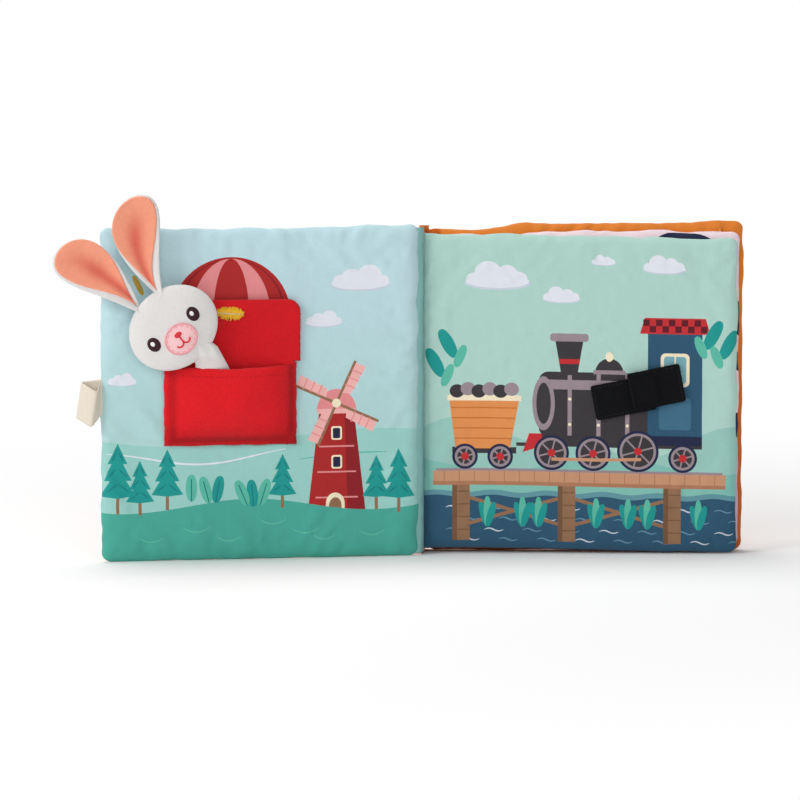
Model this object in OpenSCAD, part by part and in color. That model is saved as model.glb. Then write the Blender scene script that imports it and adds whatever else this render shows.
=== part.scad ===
// Cloth activity book, standing open at its front cover.
// X runs along the pages, Y away from the reader, Z up. The origin is the middle of the spine's foot.

/* [Covers] */
// Width of a cover, from its hinge fold to its fore edge
cover_w = 199; // [170:0.5:230]
// Height of a cover
cover_h = 208; // [180:0.5:240]
// Thickness of a padded cover at its middle
cover_t = 7; // [5:0.5:9]
// Radius of a cover's corners
cover_corner_r = 9; // [6:0.5:14]
// How far the top seam of a cover sinks between its corners
cover_sag = 1.6; // [0:0.2:3]
// Angle by which the front cover is turned towards the reader from flat open
open_angle = 9.5; // [0:1:40]

/* [Pages] */
// Width of a page leaf
page_w = 195; // [165:0.5:222]
// Height of a page leaf
page_h = 196; // [170:0.5:230]
// Thickness of a padded page leaf at its middle
page_t = 6; // [4:0.5:7]
// Radius of a page leaf's corners
page_corner_r = 8; // [6:0.5:14]
// How far the page leaves are held up at the binding
page_raise = 4.5; // [1:0.5:6]
// Distance from the binding at which a page's foot starts to droop
droop_start = 35; // [10:1:60]
// Distance from the binding at which a page's foot meets the ground
droop_end = 108; // [80:1:130]
// Distance between the two page leaves, middle to middle
page_pitch = 8.6; // [8:0.1:9.5]

/* [Seams] */
// Half thickness of the sewn edge of a leaf
rim_half_t = 0.8; // [0.6:0.1:1.2]
// Height of the puckers beside the sewn edge, as a share of the padding there
pucker = 0.22; // [0:0.02:0.3]
// Radius of the fold that carries a cover on the spine
hinge_r = 1.5; // [1.2:0.1:2]
// Clearance between moving or resting cloth pieces
cloth_gap = 0.3; // [0.2:0.05:0.5]

/* [Spine] */
// Distance between the two hinge folds
spine_d = 26; // [25:0.5:30]
// Thickness of the spine cloth
spine_t = 1.2; // [1:0.1:1.5]

/* [Print] */
// Thickness of one printed layer
ink_t = 0.25; // [0.15:0.05:0.3]
// Clearance under one printed layer
ink_gap = 0.05; // [0.03:0.01:0.08]

/* [Pocket] */
// Width of the felt pocket
pocket_w = 82.5; // [70:1:95]
// Height of the felt pocket
pocket_h = 51.6; // [42:1:60]
// Distance from the hinge end of the cover to the pocket
pocket_x = 77.5; // [70:1:88]
// Height of the pocket's lower edge
pocket_z = 72; // [50:1:75]
// How far the pocket's mouth stands open
pocket_open = 10.5; // [9:0.5:14]
// Thickness of the felt
felt_t = 1.5; // [1:0.1:2]
// Width of the flap above the pocket
flap_w = 80; // [60:1:90]
// Height of the flap above the pocket
flap_h = 38.6; // [30:1:50]
// Radius of the flap's upper corners
flap_r = 8; // [4:0.5:12]
// Length of the closing patch on the flap
patch_l = 17; // [10:0.5:24]
// Height of the closing patch on the flap
patch_w = 7; // [6:0.5:12]

/* [Puppet] */
// Width of the puppet's head
head_w = 58; // [48:1:62]
// Height of the puppet's head
head_h = 50; // [42:1:54]
// Thickness of the puppet's head
head_t = 13; // [10:0.5:15]
// Tilt of the head towards the fore edge
head_tilt = 38; // [20:1:45]
// Length of an ear
ear_l = 66; // [45:1:70]
// Width of an ear
ear_w = 29; // [20:1:32]
// Thickness of the velour back of an ear
ear_back_t = 1.6; // [1.2:0.1:2]
// Thickness of the lining of an ear
ear_lining_t = 1.2; // [0.8:0.1:1.6]
// Diameter of an eye
eye_d = 7; // [4:0.5:7]
// Width of the nose
nose_w = 7; // [5:0.5:9]
// Diameter of the muzzle
muzzle_d = 21; // [16:0.5:24]

/* [Ribbon] */
// Width of the ribbon loop's tape
ribbon_w = 22; // [15:0.5:28]
// Thickness of the ribbon loop's tape
ribbon_t = 0.8; // [0.6:0.1:1.2]
// How far the ribbon loop stands out of the cover
ribbon_l = 14.5; // [13:0.5:22]
// Width of the opening through the ribbon loop
ribbon_open = 7.5; // [6.5:0.5:9]
// Height of the ribbon loop's lower edge
ribbon_z = 93.5; // [60:1:120]

/* [Strap] */
// Width of the hook-and-loop strap
strap_w = 22; // [18:0.5:26]
// Thickness of the hook-and-loop strap
strap_t = 1.8; // [1.2:0.1:2.4]
// Length of the band that is sewn to the page
band_l = 38; // [30:1:48]
// Length of the tab that closes over the band
tab_l = 40; // [34:1:52]
// Length of the band that the tab covers
strap_lap = 20; // [14:1:26]
// Distance from the binding to the strap
strap_x = 105; // [90:1:115]
// How far the strap rises to the right
strap_turn = 11; // [0:1:20]
// Height of the strap's middle above the ground
strap_z = 94.5; // [80:1:120]

/* [Hidden] */

// Points along one side and around one corner of a leaf's outline
side_n = 24;
corner_n = 8;
// Inset from the sewn edge, share of the half thickness there, and how strongly the puckers show
ROLL = [[0, 0, 0], [1.6, 0.42, 0.8], [4.5, 0.72, 1], [9, 0.92, 0.45], [15, 1, 0]];
// Size of the corner squares in which the outline turns
corner_span = 31;
// Turns of the two pucker waves from one outline point to the next
pucker_a = 67;
pucker_b = 101;

hinge_x = -hinge_r - 0.1;
front_hinge_y = -spine_d / 2;
back_hinge_y = spine_d / 2;
hinge_start = hinge_r + cloth_gap;
back_start = spine_t / 2 - hinge_x + cloth_gap;
// The two page leaves are one pad, folded at the binding around a half circle
fold_half_t = 1.5;
fold_r = page_pitch / 2;
page_x = spine_t / 2 + 0.1;
page_y = -fold_r;
fold_x = page_x + fold_r + fold_half_t;
page_arm = page_x + page_w - fold_x;
pad_l = 2 * page_arm + PI * fold_r;
// Length over which the padding thins towards the fold
fold_taper = 14;

function smooth(t) = let(c = min(max(t, 0), 1)) c * c * (3 - 2 * c);
function pucker_wave(k) = 0.6 * sin(k * pucker_a) + 0.4 * sin(k * pucker_b + 40);

// A leaf's outline inset by d. Points along the sides keep their place in every ring, and the
// corners are superellipses that pass from the corner radius r at the seam to a quarter circle
function corner_power(r, d) = let(
    l = corner_span - d,
    at_seam = ln(2) / -ln(1 - r * 0.2929 / corner_span),
    f = d / ROLL[len(ROLL) - 1][0]
) at_seam * (1 - f) + 2.2 * f;
function outline(w, h, r, d) = let(c = corner_span, n = corner_power(r, d)) [
    for (side = [0:3])
        let(
            a = side * 90,
            start = [[c, d], [w - d, c], [w - c, h - d], [d, h - c]][side],
            run = ((side % 2 == 0) ? w : h) - 2 * c,
            turn = [[w - c, c], [w - c, h - c], [c, h - c], [c, c]][side]
        )
        each concat(
            [for (i = [0:side_n - 1]) [
                start.x + run * i / side_n * cos(a),
                start.y + run * i / side_n * sin(a)
            ]],
            [for (i = [0:corner_n - 1])
                let(
                    b = a - 90 + 90 * i / corner_n,
                    q = (c - d) / pow(pow(abs(cos(b)), n) + pow(abs(sin(b)), n), 1 / n)
                )
                [turn.x + q * cos(b), turn.y + q * sin(b)]]
        )
];

// One ring of a leaf's face: p is the roll entry, side is -1 for the reader's face and 1 for the back
function face_ring(w, h, r, t, p, side, lift, bend) = let(pts = outline(w, h, r, p[0]))
    [for (k = [0:len(pts) - 1]) let(
        y = rim_half_t + (t / 2 - rim_half_t) * p[1] * (1 + pucker * p[2] * pucker_wave(k)) + lift
    ) [pts[k].x, side * y, bend(pts[k])]];
function face_centre(w, h, t, side, lift, bend) = let(c = [w / 2, h / 2])
    [c.x, side * (t / 2 + lift), bend(c)];

// How a cover's top seam sinks, and how a page's foot droops
cover_bend = function (p) p.y - cover_sag * sin(180 * min(max(p.x / cover_w, 0), 1)) * pow(p.y / cover_h, 2);
page_bend = function (p) p.y + page_raise * (1 - smooth((p.x - droop_start) / (droop_end - droop_start)));

// A closed solid from rings of equal count, fanned shut at a start point and an end point
module loft(rings, start, end) {
    n = len(rings[0]);
    m = len(rings);
    points = concat([start], [for (r = rings) each r], [end]);
    polyhedron(
        points = points,
        faces = concat(
            [for (k = [0:n - 1]) [0, 1 + k, 1 + (k + 1) % n]],
            [for (j = [0:m - 2], k = [0:n - 1]) let(a = 1 + j * n, b = a + n, q = (k + 1) % n)
                each [[a + k, b + k, a + q], [a + q, b + k, b + q]]],
            [for (k = [0:n - 1]) let(a = 1 + (m - 1) * n) [a + k, n * m + 1, a + (k + 1) % n]]
        ),
        convexity = 6
    );
}

// A closed solid between two grids of points of the same size
module sheet(top, under) {
    rows = len(top);
    cols = len(top[0]);
    n = rows * cols;
    loop = concat(
        [for (j = [0:cols - 2]) j],
        [for (i = [0:rows - 2]) i * cols + cols - 1],
        [for (j = [cols - 1:-1:1]) (rows - 1) * cols + j],
        [for (i = [rows - 1:-1:1]) i * cols]
    );
    polyhedron(
        points = concat([for (r = top) each r], [for (r = under) each r]),
        faces = concat(
            [for (i = [0:rows - 2], j = [0:cols - 2]) let(a = i * cols + j)
                each [[a, a + 1, a + cols + 1], [a, a + cols + 1, a + cols]]],
            [for (i = [0:rows - 2], j = [0:cols - 2]) let(a = n + i * cols + j)
                each [[a, a + cols + 1, a + 1], [a, a + cols, a + cols + 1]]],
            [for (k = [0:len(loop) - 1]) let(a = loop[k], b = loop[(k + 1) % len(loop)])
                each [[a, n + a, n + b], [a, n + b, b]]]
        ),
        convexity = 6
    );
}

// One padded panel: its flat face is the middle of the leaf
module panel(w, h, r, t, side, bend) {
    rings = concat(
        [[for (p = outline(w, h, r, 0)) [p.x, 0, bend(p)]]],
        [for (p = ROLL) face_ring(w, h, r, t, p, side, 0, bend)]
    );
    centre = [w / 2, 0, bend([w / 2, h / 2])];
    mirror([0, side > 0 ? 1 : 0, 0])
        loft([for (g = rings) [for (p = g) [p.x, -abs(p.y), p.z]]], centre,
            let(c = face_centre(w, h, t, -1, 0, bend)) c);
}

// Stations across the folded pad: close together at the seams and round the fold, then even
leaf_steps = 17;
fold_steps = 6;
seam_roll = ROLL[len(ROLL) - 1][0];
seam_s = [for (p = ROLL) p[0]];
arm_s = [for (i = [1:leaf_steps]) seam_roll + (page_arm - seam_roll) * i / leaf_steps];
first_leaf_s = concat(seam_s, arm_s);
PAD_S = concat(
    first_leaf_s,
    [for (i = [1:fold_steps - 1]) page_arm + PI * fold_r * i / fold_steps],
    [for (i = [len(first_leaf_s) - 1:-1:0]) pad_l - first_leaf_s[i]]
);
PAD_Z = concat(
    seam_s,
    [for (i = [1:leaf_steps - 1]) seam_roll + (page_h - 2 * seam_roll) * i / leaf_steps],
    [for (i = [len(seam_s) - 1:-1:0]) page_h - seam_s[i]]
);
roll_share = function (d) lookup(d, [for (p = ROLL) [p[0], p[1]]]);
roll_pucker = function (d) lookup(d, [for (p = ROLL) [p[0], p[2]]]);

// A point of the folded pad: s runs from one fore edge round the fold to the other, z up the leaf,
// side is 1 for the outer face and -1 for the inner one
function pad_point(s, z, side, lift, k) = let(
    c = corner_span,
    a = s < c ? s - c : (s > pad_l - c ? s - pad_l + c : 0),
    b = z < c ? z - c : (z > page_h - c ? z - page_h + c : 0),
    n = ln(2) / -ln(1 - page_corner_r * 0.2929 / c),
    q = max(abs(a), abs(b)),
    f = (a == 0 || b == 0) ? 1 : q / pow(pow(abs(a), n) + pow(abs(b), n), 1 / n),
    s2 = s - a + a * f,
    z2 = z - b + b * f,
    d = min(s, pad_l - s, z, page_h - z),
    thin = fold_half_t / (page_t / 2),
    from_fold = abs(s - pad_l / 2) - PI * fold_r / 2,
    full = (page_t / 2) * (thin + (1 - thin) * smooth(from_fold / fold_taper)),
    y = rim_half_t + (full - rim_half_t) * roll_share(d) * (1 + pucker * roll_pucker(d) * pucker_wave(k)) + lift,
    turn = min(max((s2 - page_arm) / fold_r * 180 / PI, 0), 180),
    x0 = s2 < page_arm ? page_arm - s2 : (s2 > pad_l - page_arm ? s2 - pad_l + page_arm : 0),
    x = x0 - (fold_r + side * y) * sin(turn)
) [
    fold_x + x,
    -(fold_r + side * y) * cos(turn),
    (s < pad_l / 2) ? page_bend([fold_x + x, z2]) : z2 + page_raise + (page_bend([fold_x + x, z2]) - z2 - page_raise) * 0.3
];
function pad_grid(side, lift, s_from, s_to, z_from, z_to) = [
    for (j = [z_from:z_to]) [
        for (i = [s_from:s_to]) pad_point(PAD_S[i], PAD_Z[j], side, lift, i + j)
    ]
];

// Where the pieces sit
module on_front_cover() {
    translate([hinge_x, front_hinge_y, 0]) rotate([0, 0, open_angle]) mirror([1, 0, 0])
        translate([hinge_start, 0, 0]) children();
}
module on_back_cover() {
    translate([hinge_x + back_start, back_hinge_y, 0]) children();
}
module on_page(i) {
    translate([page_x, page_y + i * page_pitch, 0]) children();
}
function ink_low(layer) = ink_gap + layer * (ink_gap + ink_t);
module upright(depth) {
    rotate([90, 0, 0]) linear_extrude(height = depth) children();
}
// Flat fields of print, on the level middle of a leaf
module cover_print(layer) {
    translate([0, -cover_t / 2 - ink_low(layer), 0]) upright(ink_t) children();
}
module page_print(layer) {
    translate([0, -page_t / 2 - ink_low(layer), 0]) upright(ink_t) children();
}

// A field of print that runs from the lower seam up to a curve, following the leaf's roll and puckers
module ground_field(w, h, r, t, layer, bend, curve) {
    flat = ROLL[len(ROLL) - 1][0];
    side_k = function (z) max(0, floor(side_n * (z - corner_span) / (h - 2 * corner_span)));
    total = 4 * (side_n + corner_n);
    left_k = 3 * (side_n + corner_n) + side_n - side_k(curve(flat));
    right_k = side_n + corner_n + side_k(curve(w - flat));
    count = total - left_k + right_k + 1;
    grid = function (lift)
        let(rings = [for (i = [1:len(ROLL) - 1]) face_ring(w, h, r, t, ROLL[i], -1, lift, bend)])
        [for (j = [count - 1:-1:0])
            let(k = (left_k + j) % total, x = flat + 1.5 + (w - 2 * flat - 3) * j / (count - 1))
            [for (g = rings) g[k], [x, -t / 2 - lift, bend([x, curve(x)])]]];
    sheet(grid(ink_low(layer)), grid(ink_low(layer) + ink_t));
}

module spine() {
    color([0.80, 0.43, 0.16]) {
        translate([-spine_t / 2, -spine_d / 2 + 1, 0]) cube([spine_t, spine_d - 2, cover_h]);
        for (y = [front_hinge_y, back_hinge_y])
            translate([hinge_x, y, 0]) cylinder(r = hinge_r, h = cover_h, $fn = 32);
    }
}

module pages() {
    last_s = len(PAD_S) - 1;
    last_z = len(PAD_Z) - 1;
    color([0.68, 0.82, 0.78])
        sheet(pad_grid(1, 0, 0, last_s, 0, last_z), pad_grid(-1, 0, 0, last_s, 0, last_z));
}
module front_cover_outer_panel() {
    color([0.84, 0.49, 0.18]) on_front_cover()
        panel(cover_w, cover_h, cover_corner_r, cover_t, 1, cover_bend);
}
module front_cover_inner_panel() {
    color([0.74, 0.86, 0.87]) on_front_cover()
        panel(cover_w, cover_h, cover_corner_r, cover_t, -1, cover_bend);
}
module back_cover_outer_panel() {
    color([0.84, 0.49, 0.18]) on_back_cover()
        panel(cover_w, cover_h, cover_corner_r, cover_t, 1, cover_bend);
}
module back_cover_inner_panel() {
    color([0.84, 0.49, 0.18]) on_back_cover()
        panel(cover_w, cover_h, cover_corner_r, cover_t, -1, cover_bend);
}

// A tape folded into a loop, its two ends meeting at the fore edge of the cover
function drop_points(x, l, w, first) = [
    for (k = [first:32 - first]) let(q = 360 * k / 32)
        [x + l * (1 - cos(q)) / 2, -w / 2 * sin(q) * pow(abs(sin(q / 2)), 1.2)]
];
module ribbon_loop() {
    root_l = 2.5;
    outer = concat(
        [[0, ribbon_t], [0, -ribbon_t], [1.5, -ribbon_t]],
        drop_points(0, ribbon_l, ribbon_open * 1.12 + 2 * ribbon_t, 5),
        [[1.5, ribbon_t]]
    );
    inner = drop_points(root_l, ribbon_l - root_l - ribbon_t, ribbon_open * 1.12, 3);
    color([0.89, 0.85, 0.79]) on_front_cover() translate([cover_w, 0, ribbon_z])
        linear_extrude(height = ribbon_w) polygon(
            concat(outer, inner),
            [[for (k = [0:len(outer) - 1]) k], [for (k = [0:len(inner) - 1]) len(outer) + k]]
        );
}

// How far things sewn on the inside of the front cover stand off its middle
stack_y = cover_t / 2 + ink_low(3);
pocket_rows = 12;
pocket_cols = 18;
function pocket_bulge(u, v) = pocket_open * pow(sin(180 * u), 0.7) * pow(sin(90 * v), 0.8);
function pocket_grid(extra) = [
    for (i = [0:pocket_rows]) [
        for (j = [0:pocket_cols]) let(u = j / pocket_cols, v = i / pocket_rows) [
            pocket_x + pocket_w * u,
            -stack_y - pocket_bulge(u, v) - extra,
            pocket_z + pocket_h * v - 1.2 * sin(180 * u) * v
        ]
    ]
];
module pocket() {
    color([0.88, 0.10, 0.14]) on_front_cover() sheet(pocket_grid(0), pocket_grid(felt_t));
}

flap_x = pocket_x - 2.5;
flap_z = pocket_z + pocket_h + cloth_gap;
module pocket_flap() {
    color([0.88, 0.10, 0.14]) on_front_cover() translate([flap_x, -stack_y, flap_z])
        upright(felt_t) difference() {
            union() {
                square([flap_w, flap_h - flap_r]);
                translate([flap_r, 0]) square([flap_w - 2 * flap_r, flap_h]);
                for (x = [flap_r, flap_w - flap_r])
                    translate([x, flap_h - flap_r]) circle(r = flap_r, $fn = 48);
            }
        }
}
module flap_patch() {
    color([0.94, 0.72, 0.16]) on_front_cover()
        translate([flap_x + flap_w * 0.55, -stack_y - felt_t - ink_gap, flap_z + flap_h * 0.785])
            upright(0.8) rotate([0, 0, 8]) hull()
                for (s = [-1, 1]) translate([s * (patch_l - patch_w) / 2, 0])
                    circle(d = patch_w, $fn = 32);
}

// The puppet leans out of the pocket towards the fore edge
head_x = pocket_x + pocket_w - 5;
head_z = pocket_z + pocket_h + 22.8;
head_y = -stack_y - felt_t - cloth_gap - head_t / 2 - 1;
function ellipse_ring(c, a, b, n) = [
    for (k = [0:n - 1]) let(q = 360 * k / n) [c.x + a * cos(q), c.y + b * sin(q), c.z]
];
// Height above the pocket's foot, distance from the pocket's hinge end, half width, half thickness
BODY = [[10, 48, 10, 1], [15, 48, 15, 1.5], [26, 48, 18, 2.2], [39, 50, 17, 2.7], [48, 51, 12, 2.9]];
// The same for the neck, with the share of the way from the pocket's seat to the head's middle
NECK = [[53, 52, 9.5, 3, 0.45], [57, 53.5, 7, 3, 0.85]];
body_seat = stack_y + cloth_gap;
module puppet_body() {
    back = -body_seat - NECK[0][3];
    rings = concat(
        [for (p = BODY)
            ellipse_ring([pocket_x + p[1], -body_seat - p[3], pocket_z + p[0]], p[2], p[3], 24)],
        [for (p = NECK)
            ellipse_ring([pocket_x + p[1], back + (head_y - back) * p[4], pocket_z + p[0]], p[2], p[3], 24)]
    );
    color([0.93, 0.93, 0.92]) on_front_cover()
        loft(rings, [pocket_x + 48, -body_seat - 0.8, pocket_z + 9],
            [pocket_x + 54, back + (head_y - back) * 0.9, pocket_z + 58.2]);
}
module puppet_head() {
    rings = [
        for (i = [1:11]) let(b = -90 + 15 * i)
            ellipse_ring([0, 0, head_h / 2 * sin(b)], head_w / 2 * cos(b), head_t / 2 * cos(b), 32)
    ];
    color([0.93, 0.93, 0.92]) on_front_cover()
        translate([head_x, head_y, head_z]) rotate([0, head_tilt, 0])
            loft(rings, [0, 0, -head_h / 2], [0, 0, head_h / 2]);
}

// An ear's outline, its base at 0, 0 and its tip along the second axis
function ear_points(l, w, inset, bow) = [
    for (k = [0:35]) let(q = 10 * k, f = pow((1 - cos(q)) / 2, 0.85))
        [sin(q) * (w / 2 - inset) * (0.4 + 0.86 * f) + bow * sin(180 * f), inset + (l - 2 * inset) * f]
];
// Place of each ear's base from the head's middle, how far the ear leans and how far it bows sideways
EARS = [[7, 18, 14, 4.5], [19, 9, 53, -3]];
module ear_shape(i, inset) {
    e = EARS[i];
    difference() {
        translate([head_x + e[0], head_z + e[1]]) rotate(-e[2]) polygon(ear_points(ear_l, ear_w, inset, e[3]));
        translate([head_x, head_z]) rotate(-head_tilt) polygon([
            for (k = [0:63]) let(q = 360 * k / 64)
                [(head_w / 2 + cloth_gap) * cos(q), (head_h / 2 + cloth_gap) * sin(q)]
        ]);
    }
}
ear_mid_y = head_y + ear_back_t / 2 - 0.4;
module ear_back(i) {
    color([0.93, 0.93, 0.92]) on_front_cover() translate([0, ear_mid_y + ear_back_t / 2, 0])
        upright(ear_back_t) ear_shape(i, 0);
}
module ear_lining(i) {
    color([0.94, 0.59, 0.47]) on_front_cover() translate([0, ear_mid_y - ear_back_t / 2, 0])
        upright(ear_lining_t) ear_shape(i, 1.2);
}
module left_ear() { ear_back(1); }
module right_ear() { ear_back(0); }
module left_ear_lining() { ear_lining(1); }
module right_ear_lining() { ear_lining(0); }

// Small pieces sewn on the face, each laid on the head's curve
face_gap = 0.12;
function face_depth(x, z) = head_t / 2 * sqrt(1 - pow(x / (head_w / 2), 2) - pow(z / (head_h / 2), 2));
module face_piece(x, z, points, proud, base) {
    at = function (dx, dz, share, lift)
        [x + dx * share, -face_depth(x + dx * share, z + dz * share) - face_gap - base - lift, z + dz * share];
    ring = function (share, lift) [for (p = points) at(p.x, p.y, share, lift)];
    on_front_cover() translate([head_x, head_y, head_z]) rotate([0, head_tilt, 0])
        loft([ring(0.5, 0), ring(1, 0), ring(1, proud), ring(0.5, proud)], at(0, 0, 0, 0), at(0, 0, 0, proud));
}
function disc_points(a, b) = [for (k = [0:23]) [a / 2 * cos(15 * k), b / 2 * sin(15 * k)]];
eye_h = eye_d * 1.2;
muzzle_t = 0.5;
module left_eye() { color([0.16, 0.09, 0.10]) face_piece(16, 0, disc_points(eye_d, eye_h), 0.9, 0); }
module right_eye() { color([0.16, 0.09, 0.10]) face_piece(-14.5, 0, disc_points(eye_d, eye_h), 0.9, 0); }
module muzzle() {
    color([0.96, 0.74, 0.74]) face_piece(0.8, -7.5, disc_points(muzzle_d, muzzle_d * 0.86), muzzle_t, 0);
}
module nose() {
    color([0.86, 0.42, 0.45]) face_piece(0.8, -4, disc_points(nose_w, nose_w * 0.6), 0.7, muzzle_t + face_gap);
}
// The strap lies on the first page, the tab over the end of the band
strap_y = page_t / 2 + ink_low(2);
module strap_band() {
    color([0.06, 0.06, 0.08]) on_page(0) translate([strap_x, -strap_y, strap_z]) rotate([0, -strap_turn, 0])
        translate([0, 0, -strap_w / 2 - 1]) rotate([90, 0, 0])
            linear_extrude(height = strap_t) square([band_l, strap_w]);
}
module strap_tab() {
    start = band_l - strap_lap;
    step_y = strap_t + cloth_gap;
    color([0.06, 0.06, 0.08]) on_page(0) translate([strap_x, -strap_y, strap_z]) rotate([0, -strap_turn, 0])
        translate([0, 0, -strap_w / 2 + 1.5]) linear_extrude(height = strap_w - 1) polygon([
            [start, -step_y], [start, -step_y - strap_t],
            [band_l + 1, -step_y - strap_t], [start + tab_l - 9, -strap_t - 0.2],
            [start + tab_l, -strap_t], [start + tab_l, 0],
            [start + tab_l - 9, 0], [band_l + cloth_gap, -step_y]
        ]);
}
module tab_patch() {
    color([0.10, 0.10, 0.12]) on_page(0) translate([strap_x, -strap_y, strap_z]) rotate([0, -strap_turn, 0])
        translate([band_l - strap_lap + 2, -2 * strap_t - cloth_gap - ink_gap, -strap_w / 2 + 4])
            upright(0.6) square([13, strap_w - 6]);
}

// Fields of the print on the inside of the front cover, measured from the hinge and the foot
far_hill = function (x) 76 + 5 * sin(300 * x / cover_w + 50);
near_hill = function (x) 34 + 4 * sin(468 * x / cover_w + 200);
module cloud_field(s) {
    hull() for (x = [-13, 13]) translate([x * s, 0]) circle(r = 4 * s, $fn = 32);
    translate([-5 * s, 4 * s]) circle(r = 7 * s, $fn = 32);
    translate([5 * s, 3 * s]) circle(r = 5.5 * s, $fn = 32);
}
// Distance from the hinge, height and scale of each cloud
CLOUDS = [[37, 172, 1.1], [60, 148, 0.7], [172, 184, 0.5]];
// Distance from the hinge, height of the foot and height of each tree
TREES = [[27, 30, 34], [86, 32, 34], [158, 32, 38], [175, 29, 34]];
balloon_r = 37;
balloon_x = pocket_x + pocket_w / 2 - 1;
balloon_z = cover_h - 18 - balloon_r;
module print_far_hills() {
    color([0.63, 0.80, 0.78]) on_front_cover()
        ground_field(cover_w, cover_h, cover_corner_r, cover_t, 0, cover_bend, far_hill);
}
module print_near_hills() {
    color([0.31, 0.67, 0.61]) on_front_cover()
        ground_field(cover_w, cover_h, cover_corner_r, cover_t, 1, cover_bend, near_hill);
}
module print_clouds() {
    color([0.90, 0.94, 0.95]) on_front_cover() cover_print(0)
        for (c = CLOUDS) translate([c[0], c[1]]) cloud_field(c[2]);
}
// The mill stands beside the pocket, its sails crossed over its cap
mill_x = 52;
mill_foot = 38;
mill_top = 92;
sail_l = 28;
module print_mill() {
    color([0.66, 0.16, 0.15]) on_front_cover() cover_print(1) {
        polygon([
            [mill_x - 17, mill_foot], [mill_x + 17, mill_foot],
            [mill_x + 11, mill_top], [mill_x - 11, mill_top]
        ]);
        translate([mill_x, mill_top]) circle(r = 11, $fn = 48);
    }
}
module print_sails() {
    color([0.90, 0.58, 0.57]) on_front_cover() cover_print(2)
        translate([mill_x, mill_top + 5]) rotate(24)
            for (a = [0:90:270]) rotate(a) translate([0, -0.5]) square([sail_l, 7]);
}
// A tree's crown is three steps that narrow upwards
module tree_crown(h) {
    polygon([
        [-0.26 * h, 0], [0.26 * h, 0], [0.12 * h, 0.22 * h], [0.2 * h, 0.22 * h],
        [0.08 * h, 0.46 * h], [0.14 * h, 0.46 * h], [0, 0.75 * h],
        [-0.14 * h, 0.46 * h], [-0.08 * h, 0.46 * h], [-0.2 * h, 0.22 * h], [-0.12 * h, 0.22 * h]
    ]);
}
module print_trees() {
    color([0.12, 0.55, 0.48]) on_front_cover() cover_print(2)
        for (t = TREES) translate([t[0], t[1] + t[2] * 0.25]) tree_crown(t[2]);
}
module print_trunks() {
    color([0.45, 0.33, 0.28]) on_front_cover() cover_print(2)
        for (t = TREES) translate([t[0] - 1, t[1]]) square([2, t[2] * 0.25 - ink_gap]);
}
module print_balloon() {
    color([0.66, 0.16, 0.15]) on_front_cover() cover_print(0)
        translate([balloon_x, balloon_z]) circle(r = balloon_r, $fn = 64);
}
module print_balloon_stripes() {
    color([0.90, 0.58, 0.57]) on_front_cover() cover_print(1)
        translate([balloon_x, balloon_z]) for (s = [-1, 1])
            intersection() {
                difference() {
                    translate([-s * balloon_r * 0.45, 0]) circle(r = balloon_r * 1.08, $fn = 64);
                    translate([-s * balloon_r * 0.85, 0]) circle(r = balloon_r * 1.2, $fn = 64);
                }
                circle(r = balloon_r - 1, $fn = 64);
            }
}

// Fields of the print on the first page, measured from the binding and the foot
deck_z = 40;
deck_t = 9;
deck_x = 16;
rail_z = deck_z + deck_t;
post_w = 11;
POSTS = [18, 150];
engine_x = 66;
cab_w = 34;
// Distance from the binding and radius of each wheel
WHEELS = [[80, 11], [106, 11], [134, 13], [26, 8], [48, 8]];
chassis_z = rail_z + 16;
module print_lake() {
    leaf_end = len(first_leaf_s) - 1;
    shore = 6;
    color([0.18, 0.34, 0.44]) sheet(
        pad_grid(1, ink_low(0) + ink_t, 1, leaf_end, 1, shore),
        pad_grid(1, ink_low(0), 1, leaf_end, 1, shore)
    );
}
module print_deck() {
    color([0.77, 0.57, 0.44]) on_page(0) page_print(0)
        translate([deck_x, deck_z]) square([page_w - 2 * deck_x, deck_t]);
}
module print_posts() {
    color([0.57, 0.42, 0.31]) on_page(0) page_print(1)
        for (x = POSTS) translate([x, deck_x]) square([post_w, deck_z - deck_x]);
}
module print_engine() {
    color([0.23, 0.21, 0.23]) on_page(0) page_print(0) {
        translate([engine_x, chassis_z]) square([82, 8]);
        translate([engine_x + 8, chassis_z + 7]) square([68, 40]);
        translate([engine_x + 18, chassis_z + 46]) polygon([[2, 0], [12, 0], [16, 24], [-2, 24]]);
        translate([engine_x + 46, chassis_z + 46]) circle(r = 8, $fn = 32);
    }
}
module print_cab() {
    color([0.13, 0.22, 0.33]) on_page(0) page_print(1)
        translate([engine_x + 74, chassis_z + 2]) difference() {
            square([cab_w, 70]);
            translate([9, 40]) square([16, 18]);
        }
}
module print_roof_band() {
    color([0.75, 0.18, 0.20]) on_page(0) page_print(1)
        translate([engine_x + 70, chassis_z + 72.1]) square([cab_w + 8, 9]);
}
module print_wheels() {
    color([0.58, 0.53, 0.56]) on_page(0) page_print(1)
        for (k = WHEELS) translate([k[0], rail_z + k[1]]) difference() {
            circle(r = k[1] * (k[0] > engine_x + 60 ? 0.45 : 1), $fn = 48);
            circle(r = 2.5, $fn = 32);
        }
}
module print_wagon() {
    color([0.87, 0.56, 0.31]) on_page(0) page_print(0)
        translate([16, rail_z + 14]) polygon([[4, 0], [38, 0], [44, 32], [0, 32]]);
}
module print_smoke() {
    color([0.86, 0.87, 0.91]) on_page(0) page_print(0) {
        translate([86, 158]) cloud_field(0.7);
        translate([46, 168]) cloud_field(1.2);
    }
}
module print_reeds() {
    color([0.12, 0.59, 0.57]) on_page(0) page_print(1)
        for (x = [40, 62, 84, 106, 128, 172], s = [-1, 1])
            translate([x, deck_x]) rotate([0, 0, s * 16]) polygon([[-1.5, 0], [1.5, 0], [2.4, 8], [0, 17], [-2.4, 8]]);
}

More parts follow.
